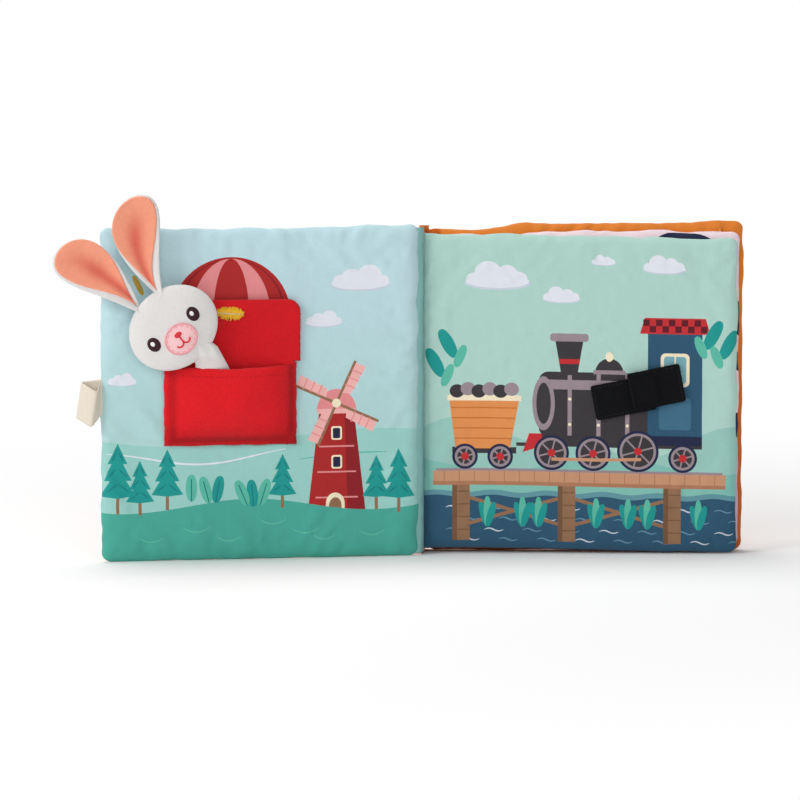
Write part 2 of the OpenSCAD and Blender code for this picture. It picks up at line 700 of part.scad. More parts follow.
// The second page's face
module print_pink_page() {
    first = len(PAD_S) - len(first_leaf_s);
    last_s = len(PAD_S) - 2;
    last_z = len(PAD_Z) - 2;
    color([0.92, 0.84, 0.87]) sheet(
        pad_grid(-1, ink_low(0), first, last_s, 1, last_z),
        pad_grid(-1, ink_low(0) + ink_t, first, last_s, 1, last_z)
    );
}

spine();
pages();
front_cover_outer_panel();
front_cover_inner_panel();
back_cover_outer_panel();
back_cover_inner_panel();
ribbon_loop();
pocket();
pocket_flap();
flap_patch();
puppet_body();
puppet_head();
left_ear();
right_ear();
left_ear_lining();
right_ear_lining();
left_eye();
right_eye();
nose();
muzzle();
strap_band();
strap_tab();
tab_patch();
print_far_hills();
print_near_hills();
print_clouds();
print_trees();
print_trunks();
print_balloon();
print_balloon_stripes();
print_mill();
print_sails();
print_lake();
print_deck();
print_posts();
print_engine();
print_cab();
print_wheels();
print_roof_band();
print_wagon();
print_smoke();
print_reeds();
print_pink_page();
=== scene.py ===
import math

import bpy
import numpy as np
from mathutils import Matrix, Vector
from mathutils.geometry import delaunay_2d_cdt


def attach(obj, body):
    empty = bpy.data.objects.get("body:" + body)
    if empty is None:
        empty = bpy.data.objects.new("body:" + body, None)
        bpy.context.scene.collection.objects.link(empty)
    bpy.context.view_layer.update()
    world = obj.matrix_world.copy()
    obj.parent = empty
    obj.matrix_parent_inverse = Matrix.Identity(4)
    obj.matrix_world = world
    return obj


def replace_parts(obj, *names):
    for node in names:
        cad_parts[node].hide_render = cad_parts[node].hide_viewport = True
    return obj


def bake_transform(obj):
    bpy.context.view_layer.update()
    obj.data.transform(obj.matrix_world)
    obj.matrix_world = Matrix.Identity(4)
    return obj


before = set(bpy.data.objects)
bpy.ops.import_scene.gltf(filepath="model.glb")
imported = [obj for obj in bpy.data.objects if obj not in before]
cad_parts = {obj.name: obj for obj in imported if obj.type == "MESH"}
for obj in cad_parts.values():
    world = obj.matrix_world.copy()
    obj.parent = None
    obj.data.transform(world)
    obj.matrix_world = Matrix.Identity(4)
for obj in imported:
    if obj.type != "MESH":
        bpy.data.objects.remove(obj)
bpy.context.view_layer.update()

# Sizes in millimetres, angles in radians. x runs from the binding along a leaf, z is up.
# Covers and leaves: width, height, thickness and corner radius
COVER_W, COVER_H, COVER_T, COVER_R = 199.0, 208.0, 7.0, 6.5
PAGE_W, PAGE_H, PAGE_T, PAGE_R = 196.0, 197.5, 6.0, 5.5
OPEN_ANGLE = math.radians(9.5)
# How far the head of a cover sinks between its corners, and the back cover's beside the binding
COVER_SAG, HEAD_SINK = 1.6, 5.0
# The first leaf is held up at the binding and droops from there to its fore edge
PAGE_RAISE, PAGE_DROOP, DROOP_START, DROOP_END = 3.6, 2.9, 20.0, 200.0
# The second leaf stands a little higher: at the binding, past it, and less at the fore edge
SECOND_RAISE, SECOND_LIFT, SECOND_DROOP = 2.4, 2.5, 0.8
# Places of the leaves and of the two hinge folds in the shared frame
PAGE_X, PAGE_Y, PAGE_PITCH, PAGE_SHIFT = -0.3, -4.3, 8.6, 1.4
HINGE_X, HINGE_Y, HINGE_START, BACK_START = -1.6, 13.0, 1.8, 2.5
# What is sewn on the front cover: its depth, the felt pocket, the flap above it and the puppet
STACK_Y = 4.45
POCKET_X, POCKET_Z, POCKET_W, POCKET_H, POCKET_OPEN = 77.5, 72.0, 82.5, 51.6, 10.5
POCKET_RIMS, POCKET_DIP, MOUTH_STITCH = (2.6, 4.6, 2.8), 3.4, 5.6
FELT_T = 1.5
FLAP_X, FLAP_Z, FLAP_W, FLAP_H, FLAP_R, FLAP_TUCK = 75.0, 123.9, 80.0, 38.6, 8.0, 8.0
HEAD_X, HEAD_Y, HEAD_Z = 155.0, -13.75, 146.4
HEAD_W, HEAD_H, HEAD_T = 58.0, 50.0, 13.0
HEAD_TILT = math.radians(38)
EAR_L, EAR_W = 66.0, 29.0
# Each ear: its foot on the head across and up, its lean in degrees and its bow
EARS = ((7.0, 18.0, 14.0, 4.5), (19.0, 9.0, 53.0, -3.0))
# The tape at the fore edge, and the strap on the first page
RIBBON_W, RIBBON_Z = 22.0, 93.5
STRAP_X, STRAP_Z, STRAP_W, STRAP_T = 106.0, 96.0, 22.0, 1.8
BAND_L, TAB_L, STRAP_LAP, STRAP_TURN = 38.0, 40.0, 20.0, math.radians(-11)


def smooth(t):
    """An even rise from 0 to 1 while t goes from 0 to 1."""
    t = np.clip(t, 0, 1)
    return t * t * (3 - 2 * t)


def turned(x, z, angle):
    """A place turned anticlockwise, with x to the right and z up."""
    c, s = math.cos(angle), math.sin(angle)
    return x * c - z * s, x * s + z * c


def paint(red, green, blue):
    """A colour as seen on a screen, 0 to 255, in linear light."""
    shares = (red / 255, green / 255, blue / 255)
    return tuple(c / 12.92 if c <= 0.04 else ((c + 0.055) / 1.055) ** 2.4 for c in shares)


# Places: from a leaf's own plane to the shared frame
def on_front(p):
    p = np.asarray(p, float)
    x = p[:, 0] + HINGE_START
    c, s = math.cos(OPEN_ANGLE), math.sin(OPEN_ANGLE)
    return np.stack([HINGE_X - x * c - p[:, 1] * s, -HINGE_Y - x * s + p[:, 1] * c, p[:, 2]], 1)


def on_back(p):
    p = np.asarray(p, float)
    return p + np.array([HINGE_X + BACK_START, HINGE_Y, 0])


def on_page(i):
    return lambda p: np.asarray(p, float) + np.array([PAGE_X + PAGE_SHIFT * i, PAGE_Y + i * PAGE_PITCH, 0])


def cover_bend(x, z):
    """The height of a cover's cloth: its head sags between the corners."""
    return z - COVER_SAG * np.sin(np.pi * np.clip(x / COVER_W, 0, 1)) * (z / COVER_H) ** 2


def back_cover_bend(x, z):
    """The back cover's head sinks beside the binding, where the leaves pull on it."""
    return cover_bend(x, z) - HEAD_SINK * (1 - smooth((x - 28) / 38)) * (z / COVER_H) ** 3


def page_bend(x, z):
    """The height of the first leaf's cloth, from the binding to its drooping fore edge."""
    return z + PAGE_RAISE - PAGE_DROOP * smooth((x - DROOP_START) / (DROOP_END - DROOP_START))


def second_page_bend(x, z):
    """The second leaf is stiffer and stands higher at its fore edge."""
    return z + SECOND_RAISE + SECOND_LIFT * smooth((x - 40) / 60) - SECOND_DROOP * smooth((x - 150) / 45)


# Mesh helpers
def make(name, points, faces, material, body, place=None, flat=False):
    """A mesh piece from points in millimetres."""
    p = np.asarray(points, float)
    if place:
        p = place(p)
    mesh = bpy.data.meshes.new(name)
    mesh.from_pydata((p * 0.001).tolist(), [], [tuple(int(i) for i in f) for f in faces])
    mesh.polygons.foreach_set("use_smooth", [not flat] * len(mesh.polygons))
    mesh.materials.append(material)
    mesh.update()
    piece = bpy.data.objects.new(name, mesh)
    bpy.context.scene.collection.objects.link(piece)
    if body:
        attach(piece, body)
    return piece


def grid_faces(rows, cols, start=0, flip=False, wrap=False):
    """Four-sided faces between the rows of a grid of points, closed to a tube with wrap."""
    faces = []
    for i in range(rows - 1):
        for j in range(cols if wrap else cols - 1):
            k = (j + 1) % cols
            a, b, c, d = i * cols + j, i * cols + k, (i + 1) * cols + k, (i + 1) * cols + j
            face = (a + start, b + start, c + start, d + start)
            faces.append(face[::-1] if flip else face)
    return faces


def grid_rim(rows, cols):
    """The outer points of a grid, one after the other round its edge."""
    far = [i * cols + cols - 1 for i in range(1, rows)]
    top = [(rows - 1) * cols + j for j in range(cols - 2, -1, -1)]
    return [*range(cols), *far, *top, *(i * cols for i in range(rows - 2, 0, -1))]


def double_faces(rows, cols):
    """Faces of a thin cloth: a front grid, a back grid after it and the edge between them."""
    n = rows * cols
    loop = grid_rim(rows, cols)
    edge = [(a, a + n, b + n, b) for a, b in zip(loop, loop[1:] + loop[:1])]
    return grid_faces(rows, cols) + grid_faces(rows, cols, n, flip=True) + edge


def vertices(mesh):
    co = np.zeros(len(mesh.vertices) * 3)
    mesh.vertices.foreach_get("co", co)
    return co.reshape(-1, 3)


def ink(piece, colours):
    """Paints a piece corner by corner, from one colour a vertex or one a face."""
    mesh = piece.data
    layer = mesh.color_attributes.new("ink", "FLOAT_COLOR", "CORNER")
    starts = np.zeros(len(mesh.loops), int)
    if len(colours) == len(mesh.vertices):
        mesh.loops.foreach_get("vertex_index", starts)
        values = np.asarray(colours)[starts]
    else:
        totals = np.zeros(len(mesh.polygons), int)
        mesh.polygons.foreach_get("loop_total", totals)
        values = np.repeat(np.asarray(colours), totals, axis=0)
    layer.data.foreach_set("color", np.c_[values, np.ones(len(values))].astype(np.float32).ravel())


def resample(points, step, closed=True):
    """The same line with its points at most a step apart."""
    p = np.asarray(points, float)
    ends = np.roll(p, -1, axis=0) if closed else p[1:]
    out = []
    for a, b in zip(p if closed else p[:-1], ends):
        count = max(1, int(math.ceil(np.linalg.norm(b - a) / step)))
        out += [a + (b - a) * k / count for k in range(count)]
    if not closed:
        out.append(p[-1])
    return np.array(out)


def eased(path, rounds):
    """The path with its corners rounded off and its ends kept."""
    for _ in range(rounds):
        path[1:-1] = (path[:-2] + 2 * path[1:-1] + path[2:]) / 4
    return path


def normals_along(path):
    """Unit normals to the left of a flat path."""
    d = np.gradient(path, axis=0)
    return np.stack([-d[:, 1], d[:, 0]], 1) / np.maximum(np.hypot(d[:, 0], d[:, 1]), 1e-9)[:, None]


def edge_distance(points, outline):
    """Distance of each point to a closed outline."""
    a = np.asarray(outline, float)
    b = np.roll(a, -1, axis=0)
    d = b - a
    size = np.maximum((d**2).sum(1), 1e-12)
    best = np.full(len(points), 1e9)
    for k in range(len(a)):
        t = np.clip(((points - a[k]) @ d[k]) / size[k], 0, 1)
        gap = points - a[k] - t[:, None] * d[k]
        best = np.minimum(best, np.hypot(gap[:, 0], gap[:, 1]))
    return best


def inside(points, outline):
    """Which points lie within a closed outline."""
    x, z = points[:, 0], points[:, 1]
    found = np.zeros(len(points), bool)
    for (ax, az), (bx, bz) in zip(outline, np.roll(outline, -1, axis=0)):
        if az == bz:
            continue
        crosses = (az > z) != (bz > z)
        found ^= crosses & (x < (bx - ax) * (z - az) / (bz - az) + ax)
    return found


def upright_turn(shape):
    """The shape with its corners in anticlockwise order."""
    p = np.asarray(shape, float)
    q = np.roll(p, -1, axis=0)
    return p if (p[:, 0] * q[:, 1] - q[:, 0] * p[:, 1]).sum() > 0 else p[::-1]


def triangulate(outline, inner, shapes=()):
    """Points, triangles and topmost shape of each triangle. Shape 0 is the outline itself."""
    shapes = [upright_turn(shape) for shape in shapes]
    points = [Vector(p) for p in outline]
    faces = [list(range(len(outline)))]
    for shape in shapes:
        faces.append(list(range(len(points), len(points) + len(shape))))
        points += [Vector(p) for p in shape]
    points += [Vector(p) for p in inner]
    out = delaunay_2d_cdt(points, [], faces, 1, 1e-5, True)
    found, triangles, origins, sources = out[0], out[2], out[5], out[3]
    keep = [k for k, o in enumerate(origins) if 0 in o]
    p = np.array([(v.x, v.y) for v in found])
    t = np.array([triangles[k] for k in keep])
    top = np.array([max(origins[k]) for k in keep])
    rim = np.array([any(i < len(outline) for i in s) for s in sources])
    used = np.unique(t)
    place = np.full(len(p), -1)
    place[used] = np.arange(len(used))
    return p[used], place[t], top, rim[used]


def scatter(low, high, step, seed, jitter=0.28):
    """A staggered grid of points with a little disorder."""
    dice = np.random.default_rng(seed)
    xs = np.arange(low[0], high[0], step)
    zs = np.arange(low[1], high[1], step * 0.87)
    x, z = np.meshgrid(xs, zs)
    x = x + step / 2 * (np.arange(len(zs)) % 2)[:, None]
    p = np.stack([x.ravel(), z.ravel()], 1)
    return p + dice.uniform(-jitter, jitter, p.shape) * step


# Shapes of the prints, in a leaf's own plane
def oval(cx, cz, rx, rz=None, turn=0.0, count=48):
    q = np.arange(count) * 2 * math.pi / count
    x, z = turned(rx * np.cos(q), (rx if rz is None else rz) * np.sin(q), turn)
    return np.stack([cx + x, cz + z], 1)


def arc(cx, cz, rx, rz, start, end, count=16):
    q = np.radians(np.linspace(start, end, count))
    return np.stack([cx + rx * np.cos(q), cz + rz * np.sin(q)], 1)


def box(x0, z0, x1, z1):
    return [(x0, z0), (x1, z0), (x1, z1), (x0, z1)]


def round_box(x0, z0, x1, z1, r, count=6):
    corners = ((x1 - r, z0 + r, -90), (x1 - r, z1 - r, 0), (x0 + r, z1 - r, 90), (x0 + r, z0 + r, 180))
    return np.concatenate([arc(cx, cz, r, r, start, start + 90, count + 1) for cx, cz, start in corners])


def stroke(points, width, taper=False):
    """A line of some width as a closed shape."""
    p = np.asarray(points, float)
    w = np.full(len(p), width / 2)
    if taper:
        w *= np.sin(np.linspace(0.15, math.pi - 0.15, len(p))) ** 0.6
    aside = normals_along(p) * w[:, None]
    return np.concatenate([p - aside, (p + aside)[::-1]])


def field_below(curve, w, low=-5.0, step=3.0):
    """All that lies under a curve across a leaf, a little past its edges."""
    x = np.arange(-4, w + 4 + step, step)
    return np.concatenate([np.stack([x, curve(x)], 1), [(w + 5, low), (-5, low)]])


def leaf_shape(x, z, length, width, lean):
    """A pointed plant leaf that stands on a place and leans to the right."""
    q = np.linspace(0, math.pi, 13)
    side = np.sin(q) ** 0.8 * width / 2
    along = (1 - np.cos(q)) / 2 * length
    across, up = turned(np.r_[side, -side[-2:0:-1]], np.r_[along, along[-2:0:-1]], -lean)
    return np.stack([x + across, z + up], 1)


# Colours of the prints
SKY_TOP, SKY_LOW = paint(186, 215, 222), paint(170, 208, 206)
HILL_FAR, HILL_NEAR = paint(152, 203, 196), paint(72, 166, 150)
TEAL, TEAL_LIGHT = paint(28, 148, 142), paint(90, 182, 160)
TEAL_DARK, TEAL_PALE = paint(20, 120, 122), paint(132, 182, 180)
BRICK, BRICK_DARK = paint(170, 38, 38), paint(140, 28, 34)
ROSE, ROSE_LIGHT = paint(224, 138, 140), paint(238, 176, 172)
MIST, MIST_DARK, CREAM = paint(221, 224, 233), paint(196, 206, 218), paint(240, 226, 196)
MINT, PAGE_BACK, NAVY = paint(172, 207, 197), paint(214, 226, 214), paint(44, 84, 110)
CHARCOAL, MAUVE = paint(58, 54, 58), paint(150, 135, 142)
TAN, TAN_DARK = paint(197, 145, 112), paint(172, 120, 90)
BROWN, BROWN_DARK = paint(145, 108, 80), paint(118, 84, 60)
ORANGE_INK, ORANGE_DARK, NIGHT = paint(222, 142, 80), paint(196, 112, 54), paint(32, 38, 68)
ORANGE, ORANGE_LIGHT, ORANGE_DEEP = paint(216, 124, 44), paint(232, 152, 66), paint(196, 98, 30)
PINK_PAGE, YELLOW_PAGE, RED_INK = paint(233, 212, 219), paint(240, 222, 170), paint(192, 44, 50)
SHORE_FAR, SHORE_NEAR, SHALLOWS = paint(150, 196, 186), paint(128, 188, 176), paint(96, 148, 158)
WAVE, GLASS = paint(96, 140, 160), paint(120, 168, 178)
DOOR, ROOF_DARK = paint(62, 108, 134), paint(92, 24, 34)
PINK_HILL, PORTHOLE = paint(206, 176, 196), paint(120, 120, 160)
GOLD, RED_FELT = paint(190, 154, 60), paint(226, 24, 34)


class Picture(list):
    """Flat shapes with their colours. A later shape lies over the earlier ones."""

    def add(self, colour, *shapes):
        self.extend((shape, colour) for shape in shapes)

    def add_cloud(self, cx, cz, s):
        puffs = (
            (0, 0, 16.5, 3.6), (-5, 4, 7, 6.5), (5, 3, 5.8, 5.4), (11, 1.5, 4.6, 3.6), (-12, 1.2, 4.2, 3.2),
        )
        self.add(MIST_DARK, oval(cx, cz - 1.2 * s, 17 * s, 3.4 * s))
        self.add(MIST, *(oval(cx + dx * s, cz + dz * s, rx * s, rz * s) for dx, dz, rx, rz in puffs))

    def add_pine(self, x, z, h):
        right = [(0.26, 0), (0.12, 0.22), (0.2, 0.22), (0.08, 0.46), (0.14, 0.46)]
        crown = [(0, -0.03), *right, (0, 0.75), *((-a, b) for a, b in right[::-1])]
        self.add(BROWN, box(x - 1, z, x + 1, z + h * 0.27))
        self.add(TEAL, np.array(crown) * h + (x, z + h * 0.25))
        for low, reach in ((0.05, 0.17), (0.27, 0.13), (0.5, 0.08)):
            for side in (-1, 1):
                inner = (x + side * h * 0.02, z + h * (low + 0.37))
                tip = (x + side * h * reach, z + h * (low + 0.25))
                self.add(TEAL_DARK, stroke(resample([inner, tip], 2, closed=False), 0.9, taper=True))


# The inside of the front cover
def far_hill(x):
    return 76 + 5 * np.sin(np.radians(300 * x / COVER_W + 50))


def near_hill(x):
    return 34 + 4 * np.sin(np.radians(468 * x / COVER_W + 200))


def add_balloon(out):
    cx, cz, r = POCKET_X + POCKET_W / 2 - 1, COVER_H - 55, 37

    def meridian(share, height, start, end):
        turns = np.linspace(start, end, 24)
        return [(cx + share * r * math.cos(q), cz + height * math.sin(q)) for q in turns]

    out.add(BRICK, [(cx - 27, cz - 24), (cx + 27, cz - 24), (cx + 9, cz - 52), (cx - 9, cz - 52)])
    out.add(BRICK, oval(cx, cz, r, count=72))
    top = 1.5708
    for s in (-1, 1):
        gore = meridian(0.66 * s, r - 1, -1.35, top) + meridian(0.3 * s, r - 1, top, -1.35)[1:]
        out.add(ROSE, gore)
        out.add(BRICK_DARK, stroke(meridian(0.9 * s, r - 1.6, -1.1, 1.35), 1.5, True))
    out.add(ROSE_LIGHT, stroke(arc(cx, cz + 4, 35.5, 12, 200, 340), 3.2))
    out.add(BRICK_DARK, *(oval(*knot, 1.5, count=14) for knot in arc(cx, cz + 4, 35, 12, 206, 334, 9)))


def add_windmill(out):
    x, foot, top, hub = 52, 22, 92, np.array([52, 97.0])
    out.add(BRICK, [(x - 19, foot), (x + 19, foot), (x + 11, top), (x - 11, top)])
    out.add(BRICK_DARK, [(x - 19, foot), (x - 7, foot), (x - 5, top), (x - 11, top)])
    out.add(ROSE, arc(x, top, 12.5, 14, 0, 180))
    out.add(ROSE_LIGHT, stroke([(x - 12, top), (x + 12, top)], 3))
    out.add(ROSE, *(stroke([(x - 16 + z * 0.07, z), (x + 16 - z * 0.07, z)], 1.0) for z in (38, 54, 70)))
    out.add(CREAM, [(x - 5, foot), (x + 7, foot), *arc(x + 1, foot + 12, 6, 7, 0, 180)])
    out.add(BROWN, [(x - 3, foot), (x + 5, foot), *arc(x + 1, foot + 11, 4, 5, 0, 180)])
    for z in (60, 78):
        out.add(CREAM, round_box(x - 3.4, z - 4, x + 3.4, z + 4.5, 1.4))
        out.add(NIGHT, round_box(x - 2.3, z - 3, x + 2.3, z + 3.4, 0.9))
    for k in range(4):
        q = math.radians(24 + 90 * k)
        d, n = np.array([math.cos(q), math.sin(q)]), np.array([-math.sin(q), math.cos(q)])
        out.add(ROSE_LIGHT, [hub + d * a + n * b for a, b in ((7, -0.5), (28, -0.5), (28, 7.5), (9, 6))])
        out.add(BROWN, stroke([hub, hub + d * 29], 1.7))
        out.add(ROSE, *(stroke([hub + d * m, hub + d * m + n * 7.2], 0.7) for m in (13, 18, 23)))
    out.add(CREAM, oval(*hub, 2.8))


def cover_picture():
    """Balloon and windmill over hills: the inside of the front cover."""
    out = Picture()
    out.add(HILL_FAR, field_below(far_hill, COVER_W))
    for place in ((37, 172, 1.1), (60, 148, 0.7), (172, 184, 0.5), (186, 112, 0.55)):
        out.add_cloud(*place)
    path = [(x, far_hill(x) - 9 - 2 * math.sin(x / 17)) for x in range(84, 200, 4)]
    out.add(MIST, stroke(path, 1.2, True))
    out.add(TEAL_LIGHT, stroke([(x, far_hill(x) - 15) for x in range(20, 80, 4)], 1.0, True))
    out.add(GOLD, leaf_shape(172.5, 166, 14, 3.6, 0.45))
    add_balloon(out)
    add_windmill(out)
    out.add(HILL_NEAR, field_below(near_hill, COVER_W))
    for x, h, z in ((13, 40, 28), (27, 34, 30), (86, 34, 32), (158, 38, 32), (175, 34, 29), (189, 44, 30)):
        out.add_pine(x, z, h)
    bushes = (
        (100, 34, -0.3), (104, 33, 0.1), (108, 34, 0.4), (128, 36, -0.2), (132, 36, 0.25), (143, 37, 0.0),
    )
    for x, z, lean in bushes:
        out.add(TEAL_LIGHT if x % 8 else TEAL, leaf_shape(x, z, 17, 7, lean))
        out.add(TEAL_DARK, stroke([(x, z), (x + 14 * math.sin(lean), z + 14 * math.cos(lean))], 0.7))
    blades = (
        (60, 12, 0.9), (72, 16, 1.2), (120, 12, -1.0), (140, 18, -1.3), (168, 12, 1.1),
        (92, 22, -1.2), (30, 14, 1.2),
    )
    for x, z, lean in blades:
        blade = [(x + 9 * math.sin(lean) * k, z + 3 * k * k) for k in np.linspace(-1, 1, 9)]
        out.add(TEAL_LIGHT, stroke(blade, 1.1, True))
    return out


# The first page
DECK_LOW, DECK_TOP, RAIL_TOP = 40, 49, 50
ENGINE_X, ENGINE_Z = 66, 65


def lake(x):
    return 33 + 0.9 * np.sin(x / 5.5)


def add_lake(out):
    out.add(SHORE_FAR, field_below(lambda x: 70 + 9 * np.sin(x / 31 + 0.8) + 4 * np.sin(x / 13), PAGE_W))
    out.add(SHORE_NEAR, field_below(lambda x: 54 + 5 * np.sin(x / 22 + 2.6), PAGE_W))
    out.add(SHALLOWS, field_below(lambda x: lake(x) + 3.2, PAGE_W))
    out.add(NAVY, field_below(lake, PAGE_W, step=1.5))
    for row, z in enumerate((26, 19, 12, 6)):
        for k in range(8):
            x = 14 + 24 * k + 9 * (row % 2)
            line = [(x + t, z + 0.9 * math.sin(t / 1.9)) for t in np.arange(0, 13, 1.5)]
            out.add(WAVE if (k + row) % 3 else MIST_DARK, stroke(line, 0.9, True))


def add_viaduct(out):
    post_w, foot, bay = 11, 5, 55
    for x in (18, 84, 150):
        out.add(BROWN, box(x, foot, x + post_w, DECK_LOW + 1))
        out.add(BROWN_DARK, box(x, foot, x + 3, DECK_LOW + 1))
        out.add(BROWN_DARK, *(stroke([(x, z), (x + post_w, z)], 0.7) for z in (12, 20, 28, 36)))
    for x in (29, 95):
        out.add(BROWN, stroke([(x, 16), (x + bay, 32)], 2.2), stroke([(x, 32), (x + bay, 16)], 2.2))
    out.add(TAN, box(6, DECK_LOW, 189, DECK_TOP))
    out.add(TAN_DARK, box(6, DECK_LOW, 189, DECK_LOW + 2.4))
    out.add(TAN_DARK, *(stroke([(x, DECK_LOW), (x, DECK_TOP)], 0.6) for x in 13 + 9.4 * np.arange(19)))
    out.add(MAUVE, box(8, DECK_TOP, 187, DECK_TOP + 1.6))


def add_wagon(out):
    x, z = 16, 63
    out.add(CHARCOAL, stroke([(58, 66), (70, 66)], 2.2), box(x + 2, z - 3, x + 42, z + 1))
    out.add(ORANGE_INK, [(x + 4, z), (x + 38, z), (x + 44, z + 32), (x, z + 32)])
    for k in range(1, 5):
        up = z + 6.4 * k
        out.add(ORANGE_DARK, stroke([(x + 4.4 - k * 0.8, up), (x + 38 + k * 1.1, up)], 0.8))
    out.add(CREAM, box(x - 1, z + 30, x + 45, z + 33.5))
    for k in range(6):
        out.add((CHARCOAL, MAUVE)[k % 2], oval(x + 5 + 6.8 * k, z + 36 + 1.4 * (k % 2), 4.6, 4.2))


def add_engine(out):
    x, z = ENGINE_X, ENGINE_Z
    out.add(CHARCOAL, box(x, z, x + 108, z + 8))
    out.add(RED_INK, [(x - 4, z - 4), (x + 8, z), (x + 8, z + 8), (x, z + 8)])
    out.add(CHARCOAL, round_box(x + 6, z + 6, x + 78, z + 47, 6))
    out.add(MAUVE, round_box(x + 8, z + 36, x + 74, z + 42, 2.5), oval(x + 9, z + 27, 7, 17))
    out.add(CHARCOAL, oval(x + 9, z + 27, 4.5, 13))
    for hoop in (x + 24, x + 42, x + 60):
        out.add(MAUVE, box(hoop, z + 7, hoop + 2.6, z + 46.6))
        out.add(CREAM, *(oval(hoop + 1.3, z + up, 1.0, count=12) for up in (14, 30)))
    out.add(CHARCOAL, [(x + 20, z + 45), (x + 30, z + 45), (x + 34, z + 68), (x + 16, z + 68)])
    out.add(MAUVE, round_box(x + 13, z + 66, x + 37, z + 71, 1.8))
    out.add(RED_INK, box(x + 18.6, z + 52, x + 31.4, z + 55))
    out.add(CHARCOAL, arc(x + 50, z + 46, 9, 10, 0, 180))
    out.add(MAUVE, box(x + 40, z + 46, x + 60, z + 48.5))
    out.add(CREAM, oval(x + 50, z + 57, 2.4, 3))


def add_cab(out):
    x, z = ENGINE_X + 74, ENGINE_Z
    out.add(NAVY, box(x, z + 2, x + 34, z + 74))
    out.add(NIGHT, box(x, z + 2, x + 34, z + 8))
    out.add(CREAM, round_box(x + 8, z + 39, x + 26, z + 60, 3))
    out.add(GLASS, round_box(x + 10, z + 41, x + 24, z + 58, 2))
    out.add(CREAM, stroke([(x + 17, z + 41), (x + 17, z + 58)], 1))
    out.add(DOOR, round_box(x + 7, z + 12, x + 27, z + 32, 2))
    out.add(RED_INK, [(x - 5, z + 72), (x + 39, z + 72), (x + 36, z + 82), (x - 2, z + 82)])
    squares = [(x - 3 + 4 * k, z + 73 + 4 * row) for k in range(10) for row in range(2) if (k + row) % 2]
    out.add(ROOF_DARK, *(box(a, b, a + 4, b + 4) for a, b in squares))


def add_wheels(out):
    for x, r in ((80, 11), (106, 11), (134, 13), (162, 9), (26, 8), (48, 8)):
        z = RAIL_TOP + r
        for colour, radius in ((NIGHT, r), (MAUVE, r - 1.6), (CHARCOAL, r - 3.2)):
            out.add(colour, oval(x, z, radius))
        out.add(MAUVE, *(stroke([(x, z), spoke], 1.0) for spoke in arc(x, z, r - 3, r - 3, 15, 315, 6)))
        out.add(RED_INK, oval(x, z, 2.4))
    out.add(TAN, stroke([(80, 57), (108, 57), (136, 58)], 2.0))


def train_picture():
    """A steam engine on a viaduct over a lake: the first page."""
    out = Picture()
    for place in ((86, 158, 0.7), (46, 168, 1.2), (150, 178, 0.8), (112, 181, 0.45)):
        out.add_cloud(*place)
    for add_part in (add_lake, add_viaduct, add_wagon, add_engine, add_cab, add_wheels):
        add_part(out)
    for x in (40, 62, 72, 108, 128, 140, 172):
        for s in (-1, 0, 1):
            out.add(TEAL if s else TEAL_LIGHT, leaf_shape(x, 14, 19 - 3 * abs(s), 4.6, 0.28 * s))
    for x, z, s in ((176, 128, 1), (186, 122, 1), (12, 108, -1), (20, 120, -1)):
        out.add(TEAL, leaf_shape(x, z, 20, 8, 0.5 * s))
        out.add(TEAL_LIGHT, leaf_shape(x, z - 6, 15, 6, -0.4 * s))
    return out


def pink_picture():
    """Night boats: only their tops show behind the first page."""
    out = Picture()
    out.add(PINK_HILL, field_below(lambda x: 60 + 5 * np.sin(x / 25), PAGE_W))
    out.add(NIGHT, arc(161, 186.5, 21, 10.6, 0, 180))
    out.add(PORTHOLE, oval(161, 188, 7, 2.6))
    for z, h in ((154, 22), (122, 12), (84, 16)):
        out.add(NIGHT, [(196, z), (196, z - h), (188, z - h * 0.6), (186, z - 4)])
    out.add(CREAM, *(oval(x, z, 4) for x, z in ((60, 170), (100, 150), (128, 176), (40, 120))))
    out.add(NIGHT, [(40, 60), (120, 60), (106, 42), (52, 42)])
    out.add(ROSE, [(78, 62), (78, 130), (112, 66)])
    return out


def back_picture():
    """Kites, tone on tone, on the outer cloth of the covers."""
    out = Picture()
    kites = (
        (52, 150, 20, 0.3), (140, 118, 26, -0.25), (86, 62, 18, 0.15), (168, 48, 14, 0.5), (36, 84, 12, -0.4),
        (185, 198.5, 6, 0.1),
    )
    for x, z, r, turn in kites:
        head, right, foot, left, middle = (0, r), (r * 0.62, 0), (0, -r * 1.2), (-r * 0.62, 0), (0, 0)
        panels = ((ORANGE_LIGHT, (left, foot, right, head)), (ORANGE_DEEP, (middle, right, head)),
                  (ORANGE_DEEP, (left, foot, middle)))
        for colour, corners in panels:
            out.add(colour, np.array([turned(*corner, turn) for corner in corners]) + (x, z))
        drift = math.sin(turn) * 0.5
        tail = [(x + 3.2 * math.sin(t / 3.4) + t * drift, z - r * 1.2 - t) for t in np.arange(0, r * 1.3, 2)]
        out.add(ORANGE_LIGHT, stroke(tail, 1.1))
    return out


